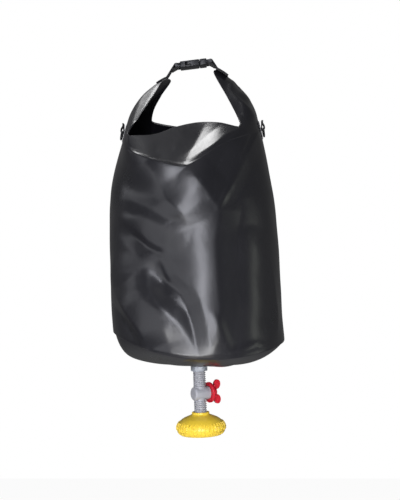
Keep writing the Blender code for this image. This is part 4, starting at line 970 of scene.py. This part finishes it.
class DryBagStage(bpy.types.PropertyGroup):
    distance: length_setting("Camera distance", "From the camera to the bag's middle plane", CAMERA_AWAY * MM)
    lens: bpy.props.FloatProperty(name="Lens", description="Focal length on a 36 mm sensor", default=73.47)
    top_power: power_setting("Top lamp", "Power of the lamp above the mouth", 8.0)
    front_power: power_setting("Key lamp", "Power of the tall lamp just left of the camera", 19.0)
    side_power: power_setting("Side lamp", "Power of the wide lamp at the left", 6.5)
    left_power: power_setting("Left lamp", "Power of the low lamp at the far left", 1.1)
    ear_power: power_setting("Ear lamp", "Power of the small lamp behind the left ear", 0.95)
    low_power: power_setting("Low lamp", "Power of the warm lamp below the base", 1.8)
    fitting_power: power_setting("Fitting lamp", "Power of the lamp in front of the valve and head", 2.4)
    lip_power: power_setting("Lip lamp", "Power of the small lamp above and in front of the right ear", 0.25)
    right_power: power_setting("Right lamp", "Power of the weak lamp at the right", 1.5)
    room_level: share_setting("Room", "Level of the room's light", 0.07)
    glossy_share: share_setting("Glossy share", "How much of the white room the gloss shows", 0.08)


# The bag


class DRYBAG_OT_wall(bpy.types.Operator):
    """Loft the wall with its fold, ears and creases"""
    bl_idname = "dry_bag.wall"
    bl_label = "Bag wall"

    def execute(self, context):
        shape = context.scene.dry_bag_shape
        front = shape.wall_columns
        across = np.concatenate([
            np.linspace(0, 0.5, front // 2, endpoint=False), np.linspace(0.5, 1, front, endpoint=False),
        ])
        rows = [np.linspace(*span, endpoint=False) for span in WALL_ROWS]
        rows = np.concatenate([*rows, np.linspace(*EAR_ROWS), (LIP_ROW,)])
        middle, out = bag_surface(across, rows, shape.fold_sharpness, shape.crease_depth)
        around = middle[2:] + middle[:-2] + np.roll(middle, 1, 1)[1:-1] + np.roll(middle, -1, 1)[1:-1]
        soft = middle.copy()
        soft[1:-1] = middle[1:-1] * 0.5 + around * 0.125
        u = np.append(across, 1) * 2 * pi * RIM_RADIUS * MM
        v = lengths(soft[:, len(across) // 3])
        wall = shell("wall", soft, out, WALL, 0, u, v, True)
        dress(wall, "bag", "black_pvc", "bag_wall")
        for word, span in LIP_BANDS.items():
            middle, out = bag_surface(
                np.linspace(*span), np.linspace(*BAND_ROWS), shape.fold_sharpness, shape.crease_depth)
            u, v = lengths(middle[0]), lengths(middle[:, 0])
            band = shell("lip_stiffener_" + word, middle, out, BAND_THICKNESS, BAND_OFFSET, u, v, False)
            dress(band, "bag", "black_pvc", "lip_band_" + word)
        return {"FINISHED"}


def base_rise(share, right, front):
    """How far up to the rim the base has come; it is drawn tighter in front and on the right."""
    slack, tight, lifted = (
        low * share**low_power + high * share**high_power for low, low_power, high, high_power in BASE_RISES
    )
    return slack + (tight - slack) * right + (lifted - slack) * front * (1 - right)


class DRYBAG_OT_base(bpy.types.Operator):
    """Hang the round base in the rim, with the folds that its weight pulls in it"""
    bl_idname = "dry_bag.base"
    bl_label = "Bag base"

    def execute(self, context):
        across = np.linspace(0, 1, BASE_COLUMNS, endpoint=False)
        rim, out = bag_surface(across, [0.0, FLANGE_ROW])
        rim = rim - out * BASE_SEAT
        foot = np.array(STEM_FOOT) * MM
        angle = np.arctan2(rim[0, :, 1], rim[0, :, 0] - foot[0])
        ring = np.stack([np.cos(angle), np.sin(angle)], 1)
        right, front = np.maximum(ring[:, 0], 0), np.maximum(-ring[:, 1], 0)
        rows = []
        for radius in COLLAR_RADII:
            x, y = ring[:, 0] * radius, ring[:, 1] * radius
            rows.append(np.stack([foot[0] + x, y, foot[2] + x * np.tan(STEM_TILT)], 1))
        flat = rows[-1]
        for share in np.concatenate([np.linspace(*BASE_SPAN), BASE_EDGE]):
            row = flat + (rim[0] - flat) * share
            row[:, 2] = flat[:, 2] + (rim[0, :, 2] - flat[:, 2]) * base_rise(share, right, front)
            row[:, 2] += self.folds(angle, share) * MM
            rows.append(row)
        middle = np.array(rows + [rim[0], rim[1]])
        along = np.roll(middle, -1, 1) - np.roll(middle, 1, 1)
        out = unit(np.cross(along, np.gradient(middle, axis=0)))
        base = shell("base", middle, out, WALL, 0, np.append(across, 1) * 0.4, lengths(middle[:, 0]), True)
        # The base gets none of the painted edge highlight.
        base.data.attributes["cut_edge"].data.foreach_set("value", np.zeros(len(base.data.vertices)))
        dress(base, "bag", "black_pvc", "base_disc")
        return {"FINISHED"}

    def folds(self, angle, share):
        """Heights of the folds in millimetres, which end before the rim."""
        total = sum(
            height * np.sin(angle * count + turn + drift * share)
            for height, count, turn, drift in BASE_FOLDS
        )
        height, count = RIGHT_FOLDS
        near = np.exp(-(((angle - RIGHT_FOLDS_AT) / RIGHT_FOLDS_REACH) ** 2))
        pull = sin(pi * min(1, share / FOLDS_END)) ** FOLDS_POWER
        return pull * (total + near * height * np.sin(angle * count))


def surface_spot(across, row, offset):
    """A point out from the wall, the way across it and the way out of it."""
    middle, out = bag_surface([across - ACROSS_STEP, across, across + ACROSS_STEP], [row])
    middle = middle + out * offset
    return middle[0, 1], unit(middle[0, 2] - middle[0, 0]), out[0, 1]


def bar_wrap(bar, ahead, up, radius):
    """Centres of webbing over a bar and back under the run that leads ahead from it."""
    turns = np.linspace(pi / 2, 3 * pi / 2, 17)
    spots = [bar + (ahead * cos(angle) + up * sin(angle)) * radius for angle in turns]
    close = radius - WEBBING - GAP
    spots.append(bar + ahead * (STRAP_SETTLE * 0.5) + up * (close - radius) * 0.5)
    spots.append(bar + ahead * STRAP_SETTLE + up * close)
    spots.append(bar + ahead * (STRAP_SETTLE + STRAP_TAIL) + up * close)
    return spots


class DRYBAG_OT_side_tabs(bpy.types.Operator):
    """Weld the side patches and hang the tab loops and rings on them"""
    bl_idname = "dry_bag.side_tabs"
    bl_label = "Side tabs"

    def execute(self, context):
        for word, (side, sign, pivot, down) in RINGS.items():
            middle, out = bag_surface(side + np.linspace(*PATCH_SPAN) / COLUMNS, np.linspace(*PATCH_ROWS))
            u, v = lengths(middle[0]), lengths(middle[:, 0])
            patch = shell("patch_" + word, middle, out, PATCH, WALL / 2 + GAP + PATCH / 2, u, v, False)
            dress(patch, "bag", "black_pvc", "side_patch_" + word)
            path = smooth_path(self.tab_path(np.array(pivot), np.array((sign, 0.0, 0.0))), TAB_SPOTS)
            ways = np.tile((0.0, sign, 0.0), (TAB_SPOTS, 1))
            tab = ribbon("tab_" + word, path, ways, TAB_WIDTH, TAB_WEBBING)
            dress(tab, "bag", "black_webbing", "tab_loop_" + word)
            ring = self.ring(word, Vector(pivot), Vector(down).normalized())
            dress(ring, "ring_" + word, "black_acetal", "d_ring_" + word)
        return {"FINISHED"}

    def tab_path(self, bar, outward):
        """Down along the patch, round the ring's bar and up to the patch again."""
        up = np.array((0.0, 0.0, 1.0))
        turn = RING_WIRE + GAP + TAB_WEBBING / 2
        close = turn - TAB_WEBBING - GAP
        down = [(-turn, TAB_TAIL), (-turn, TAB_TAIL * 0.6), (-turn, TAB_TAIL * 0.3)]
        loop = [(-sin(a) * turn, cos(a) * turn) for a in np.linspace(pi / 2, 3 * pi / 2, 15)]
        back = [(turn, 1.6 * MM), (turn - 0.7 * MM, 4.5 * MM), (-close, 8 * MM), (-close, TAB_TAIL)]
        return [bar + outward * away + up * rise for away, rise in down + loop + back]

    def ring(self, word, pivot, down):
        """A D of round wire: a straight bar in the loop and a half round below it."""
        half = [(0, RING_RADIUS * sin(a), -RING_RADIUS * cos(a)) for a in np.linspace(-pi / 2, pi / 2, 41)]
        bar = [(0, -RING_RADIUS * RING_BAR * t, 0) for t in np.linspace(-1, 1, 13)]
        path = np.array(half + bar[1:-1], float)
        for _ in range(3):
            path = path * 0.6 + (np.roll(path, 1, 0) + np.roll(path, -1, 0)) * 0.2
        ahead = unit(np.roll(path, -1, 0) - np.roll(path, 1, 0))
        across = np.array((1, 0, 0))
        points, around = [], 14
        for spot, way in zip(path, ahead):
            side = np.cross(way, across)
            for angle in np.arange(around) * 2 * pi / around:
                points.append(spot + RING_WIRE * (side * cos(angle) + across * sin(angle)))
        made = mesh_object("ring_" + word, points, tube_faces(len(path), around, True))
        turn = Vector((0, 1, 0)).cross(down)
        cleaned(made.data)
        made.data.transform(
            Matrix.Translation(pivot) @ Matrix((turn, (0, 1, 0), down)).transposed().to_4x4())
        shaded(made.data, NEVER_SHARP)
        return made


class DRYBAG_OT_straps(bpy.types.Operator):
    """Run the webbing from each ear round its buckle bar, and stitch it down"""
    bl_idname = "dry_bag.straps"
    bl_label = "Straps"

    def execute(self, context):
        along = np.array((cos(BUCKLE_TILT), 0, -sin(BUCKLE_TILT)))
        lift = np.array((sin(BUCKLE_TILT), 0, cos(BUCKLE_TILT)))
        radius = BAR_RADIUS + GAP + WEBBING / 2
        runs = (("left", LEFT_SIDE, FEMALE_BAR, "bag"), ("right", RIGHT_SIDE, MALE_BAR, "buckle_plug"))
        for word, side, place, body in runs:
            bar = along * place + lift * BUCKLE_MIDDLE
            ear = [surface_spot(side, row, WALL / 2 + STRAP_LIFT + WEBBING / 2) for row in STRAP_ROWS]
            toward = np.array((0.0, 1.0 if ear[-1][1][1] > 0 else -1.0, 0.0))
            up = np.zeros(3)
            for _ in range(3):
                ahead = ear[-1][0] - bar - up * radius
                ahead = unit(np.array((ahead[0], 0, ahead[2])))
                up = np.array((-ahead[2], 0, ahead[0])) * (1 if ahead[0] > 0 else -1)
            start = [spot[0] for spot in ear] + [bar + ahead * STRAP_LEAD + up * radius]
            path = smooth_path(start + bar_wrap(bar, ahead, up, radius), STRAP_SPOTS)
            ways = np.tile(toward, (STRAP_SPOTS, 1))
            strap = ribbon("webbing_" + word, path, ways, WEBBING_WIDTH, WEBBING)
            dress(strap, body, "black_webbing", "strap_" + word)
            pitch = context.scene.dry_bag_shape.stitch_pitch
            self.stitch(word, path[STITCHED], toward, ear[2][2], body, pitch)
        return {"FINISHED"}

    def stitch(self, word, run, toward, ear_out, body, pitch):
        """A boxed cross of stitches where the strap lies on the ear."""
        out = unit(np.cross(unit(np.gradient(run, axis=0)), toward))
        out = out * np.where((out * ear_out).sum(1, keepdims=True) > 0, 1, -1)
        run = run + out * (WEBBING / 2 + STITCH_LIFT)
        edge = STITCH_HALF_WIDTH * toward
        wide = STITCH_HALF_WIDTH * np.linspace(-1, 1, len(run))[:, None] * toward
        points, edges = [], []
        for line in (run + edge, run - edge, run + wide, run - wide, run[0] + wide, run[-1] + wide):
            edges += [(len(points) + i, len(points) + i + 1) for i in range(len(line) - 1)]
            points += [tuple(p) for p in line]
        lines = bpy.data.meshes.new("stitch_lines_" + word)
        lines.from_pydata(points, edges, [])
        tree = bpy.data.node_groups.get("Stitch line") or stitch_tree()
        values = {"Pitch": pitch, "Thickness": STITCH_THICKNESS, "Material": finish("stitch_thread")}
        made = grown("stitches_" + word, tree, values, lines)
        dress(made, body, "stitch_thread", slot="black_webbing")


class DRYBAG_OT_buckle(bpy.types.Operator):
    """Finish the two halves of the buckle and its sprung arms"""
    bl_idname = "dry_bag.buckle"
    bl_label = "Buckle"

    def execute(self, context):
        for node, body in (
            ("buckle_female", "bag"), ("buckle_male", "buckle_plug"),
            ("buckle_prong_front", "prong_front"), ("buckle_prong_back", "prong_back"),
        ):
            dress(carried(node + "_moulded", node), body, "black_acetal", node)
        return {"FINISHED"}


# The fittings


def rod(name, radius, low, high, steps, place):
    """A plain round bar between two heights, as a solid to cut with or to cut."""
    made = bmesh.new()
    bmesh.ops.create_cone(
        made, cap_ends=True, segments=steps, radius1=radius, radius2=radius, depth=high - low)
    bmesh.ops.translate(made, vec=(0, 0, (low + high) / 2), verts=made.verts)
    mesh = bpy.data.meshes.new(name)
    made.to_mesh(mesh)
    made.free()
    mesh.transform(place)
    return placed(name, mesh)


class DRYBAG_OT_stem(bpy.types.Operator):
    """Turn the threaded valve body, and finish the nuts and seals on it"""
    bl_idname = "dry_bag.stem"
    bl_label = "Stem and valve body"

    def execute(self, context):
        core = rod("valve_body_moulded", THREAD_ROOT, STEM_END, STEM_TOP, 64, STEM)
        tools = (
            (lathe("barrel", BARREL_PROFILE, VALVE, 64), "UNION"),
            (rod("bore", STEM_BORE, STEM_END - PAST_END, STEM_TOP + PAST_END, 40, STEM), "DIFFERENCE"),
            (rod("seat", PLUG_BORE, PLUG_FLOOR, 3 * PAST_END, 64, VALVE), "DIFFERENCE"),
        )
        for other, operation in tools:
            cut = core.modifiers.new("cut", "BOOLEAN")
            cut.object, cut.operation, cut.solver = other, operation, "EXACT"
        skinned(core, STEM_SKIN, 2)
        for other, _ in tools:
            bpy.data.objects.remove(other)
        body = join_meshes("valve_body_threaded", [core, *self.threads()])
        dress(body, "bag", "grey_plastic", "valve_body")
        for node, finish_name, edge in (
            ("inner_nut", "grey_nut", 0.4 * MM), ("lock_nut", "grey_nut", 0.3 * MM),
            ("inner_gasket", "black_rubber", 0.3 * MM), ("outer_gasket", "black_rubber", 0.3 * MM),
        ):
            dress(carried(node + "_finished", node, edge), "bag", finish_name, node)
        return {"FINISHED"}

    def threads(self):
        """The ridges above and below the barrel."""
        tree, made = thread_tree(), []
        reach = BARREL_RADIUS - THREAD_OVERLAP
        spans = {
            "upper": (BARREL_Z + reach, STEM_TOP - THREAD_ENDS),
            "lower": (STEM_END + THREAD_ENDS, BARREL_Z - reach),
        }
        for word, (low, high) in spans.items():
            sizes = {"Radius": THREAD_MIDDLE, "Pitch": THREAD_PITCH, "Ridge": THREAD_RIDGE}
            values = {**sizes, "Turns": (high - low) / THREAD_PITCH, "Material": finish("grey_plastic")}
            ridge = grown("thread_" + word, tree, values)
            ridge.data.transform(STEM @ Matrix.Translation((0, 0, low)))
            made.append(ridge)
        return made


class DRYBAG_OT_valve_handle(bpy.types.Operator):
    """Mould the wing handle and finish the turning core"""
    bl_idname = "dry_bag.valve_handle"
    bl_label = "Valve handle and core"

    def execute(self, context):
        handle = carried("wing_handle", "valve_handle", voxel=HANDLE_SKIN)
        dress(handle, "valve_core", "red_plastic", "valve_handle")
        for node, finish_name in (
            ("valve_plug", "white_plastic"), ("o_ring_inner", "black_rubber"),
            ("o_ring_outer", "black_rubber"), ("handle_screw", "steel"),
        ):
            dress(carried(node + "_finished", node), "valve_core", finish_name, node)
        return {"FINISHED"}


class DRYBAG_OT_head(bpy.types.Operator):
    """Turn the shower head with its grip ribs, the rose and the washer"""
    bl_idname = "dry_bag.head"
    bl_label = "Shower head"

    def execute(self, context):
        shape = context.scene.dry_bag_shape
        yellow = finish("yellow_plastic")
        parts, tree = [lathe("dome", HEAD_PROFILE, HEAD, 160)], grip_tree()
        for word, (sunk, line) in RIB_LINES.items():
            path = bpy.data.meshes.new("rib_line_" + word)
            points = [((r - sunk) * MM, 0, z * MM) for r, z in line]
            path.from_pydata(points, [(i, i + 1) for i in range(len(line) - 1)], [])
            values = {"Count": shape.rib_count, "Width": RIB_RADIUS, "Material": yellow}
            ribs = grown("grip_ribs_" + word, tree, values, path)
            ribs.data.transform(HEAD)
            parts.append(ribs)
        head = join_meshes("shower_head_ribbed", parts)
        dress(head, "head", "yellow_plastic", "shower_head")
        plate = lathe("plate", ROSE_PROFILE, Matrix.Identity(4), 96)
        mesh = plate.data.copy()
        bpy.data.objects.remove(plate)
        values = {"Hole radius": shape.hole_radius, "Spacing": HOLE_SPACING, "Material": yellow}
        rose = grown("rose", spray_tree(), values, mesh)
        rose.data.transform(HEAD)
        shaded(rose.data)
        dress(rose, "head", "yellow_plastic", "rose_plate")
        dress(carried("washer", "head_washer", 0.3 * MM), "head_seal", "black_rubber", "head_washer")
        return {"FINISHED"}


# The stage


class DRYBAG_OT_stage(bpy.types.Operator):
    """Set the camera, lamps, room and floor"""
    bl_idname = "dry_bag.stage"
    bl_label = "Stage"

    def execute(self, context):
        stage = context.scene.dry_bag_stage
        camera = bpy.data.cameras.new("camera")
        camera.lens, camera.sensor_width = stage.lens, SENSOR
        seat = placed("camera", camera)
        seat.location = (CAMERA_X * MM, -stage.distance, CAMERA_Z * MM)
        seat.rotation_euler = (pi / 2, 0, 0)
        context.scene.camera = seat
        for name, (setting, place, aim, size, colour) in LAMPS.items():
            self.lamp(name, place, aim, size, getattr(stage, setting), colour)
        self.room(context.scene, stage.room_level, stage.glossy_share)
        self.floor()
        context.scene.view_settings.view_transform = "Standard"
        return {"FINISHED"}

    def lamp(self, name, place, aim, size, power, colour):
        light = bpy.data.lights.new(name, "AREA")
        light.shape, light.size, light.size_y = "RECTANGLE", *size
        light.energy, light.color = power, colour
        made = placed(name, light)
        made.location = place
        made.rotation_euler = (Vector(aim) - Vector(place)).to_track_quat("-Z", "Y").to_euler()

    def room(self, scene, level, glossy_share):
        """A plain room that is white behind the bag and through glass, and in part in gloss."""
        world = bpy.data.worlds.new("room")
        world.use_nodes = True
        tree = world.node_tree
        rays = add(tree, "ShaderNodeLightPath").outputs
        clear = maths(tree, "MAXIMUM", rays["Is Camera Ray"], rays["Is Transmission Ray"])
        seen = maths(tree, "MAXIMUM", clear, times(tree, rays["Is Glossy Ray"], glossy_share))
        colour = mixed(tree, seen, (level, level, level * 1.02), (1, 1, 1))
        fill(tree, tree.nodes["Background"], {"Color": colour})
        scene.world = world

    def floor(self):
        """A pale floor that is white to the camera and keeps some of the object's shadow."""
        corners = [(FLOOR_HALF * x, FLOOR_HALF * y, FLOOR_Z) for x, y in ((-1, -1), (1, -1), (1, 1), (-1, 1))]
        floor = mesh_object("floor", corners, [(0, 1, 2, 3)])
        made, tree, shader = new_material("studio_floor", {"Base Color": FLOOR_COLOUR, "Roughness": 0.9})
        seen = times(tree, add(tree, "ShaderNodeLightPath").outputs["Is Camera Ray"], 0.9)
        glow = add(tree, "ShaderNodeEmission", {"Color": (1, 1, 1, 1), "Strength": FLOOR_GLOW})
        both = add(tree, "ShaderNodeMixShader", {0: seen, 1: shader.outputs[0], 2: glow.outputs[0]})
        fill(tree, tree.nodes["Material Output"], {"Surface": both.outputs[0]})
        floor.data.materials.append(made)


class DRYBAG_PT_panel(bpy.types.Panel):
    bl_label = "Dry bag"
    bl_idname = "DRYBAG_PT_panel"
    bl_space_type = "VIEW_3D"
    bl_region_type = "UI"
    bl_category = "Dry bag"

    def draw(self, context):
        column = self.layout.column()
        for group_name in SETTINGS:
            settings = getattr(context.scene, group_name)
            for key in settings.__annotations__:
                column.prop(settings, key)
        for step in STEPS:
            column.operator(step.bl_idname)


STEPS = (
    DRYBAG_OT_stage, DRYBAG_OT_wall, DRYBAG_OT_base, DRYBAG_OT_side_tabs, DRYBAG_OT_straps,
    DRYBAG_OT_buckle, DRYBAG_OT_stem, DRYBAG_OT_valve_handle, DRYBAG_OT_head,
)
SETTINGS = {"dry_bag_shape": DryBagShape, "dry_bag_finish": DryBagFinish, "dry_bag_stage": DryBagStage}


def register():
    for made in (*SETTINGS.values(), *STEPS, DRYBAG_PT_panel):
        bpy.utils.register_class(made)
    for key, made in SETTINGS.items():
        setattr(bpy.types.Scene, key, bpy.props.PointerProperty(type=made))


def unregister():
    for key in SETTINGS:
        delattr(bpy.types.Scene, key)
    for made in (DRYBAG_PT_panel, *reversed(STEPS), *SETTINGS.values()):
        bpy.utils.unregister_class(made)


def main():
    register()
    for step in STEPS:
        area, name = step.bl_idname.split(".")
        getattr(getattr(bpy.ops, area), name)()


if __name__ == "__main__":
    main()
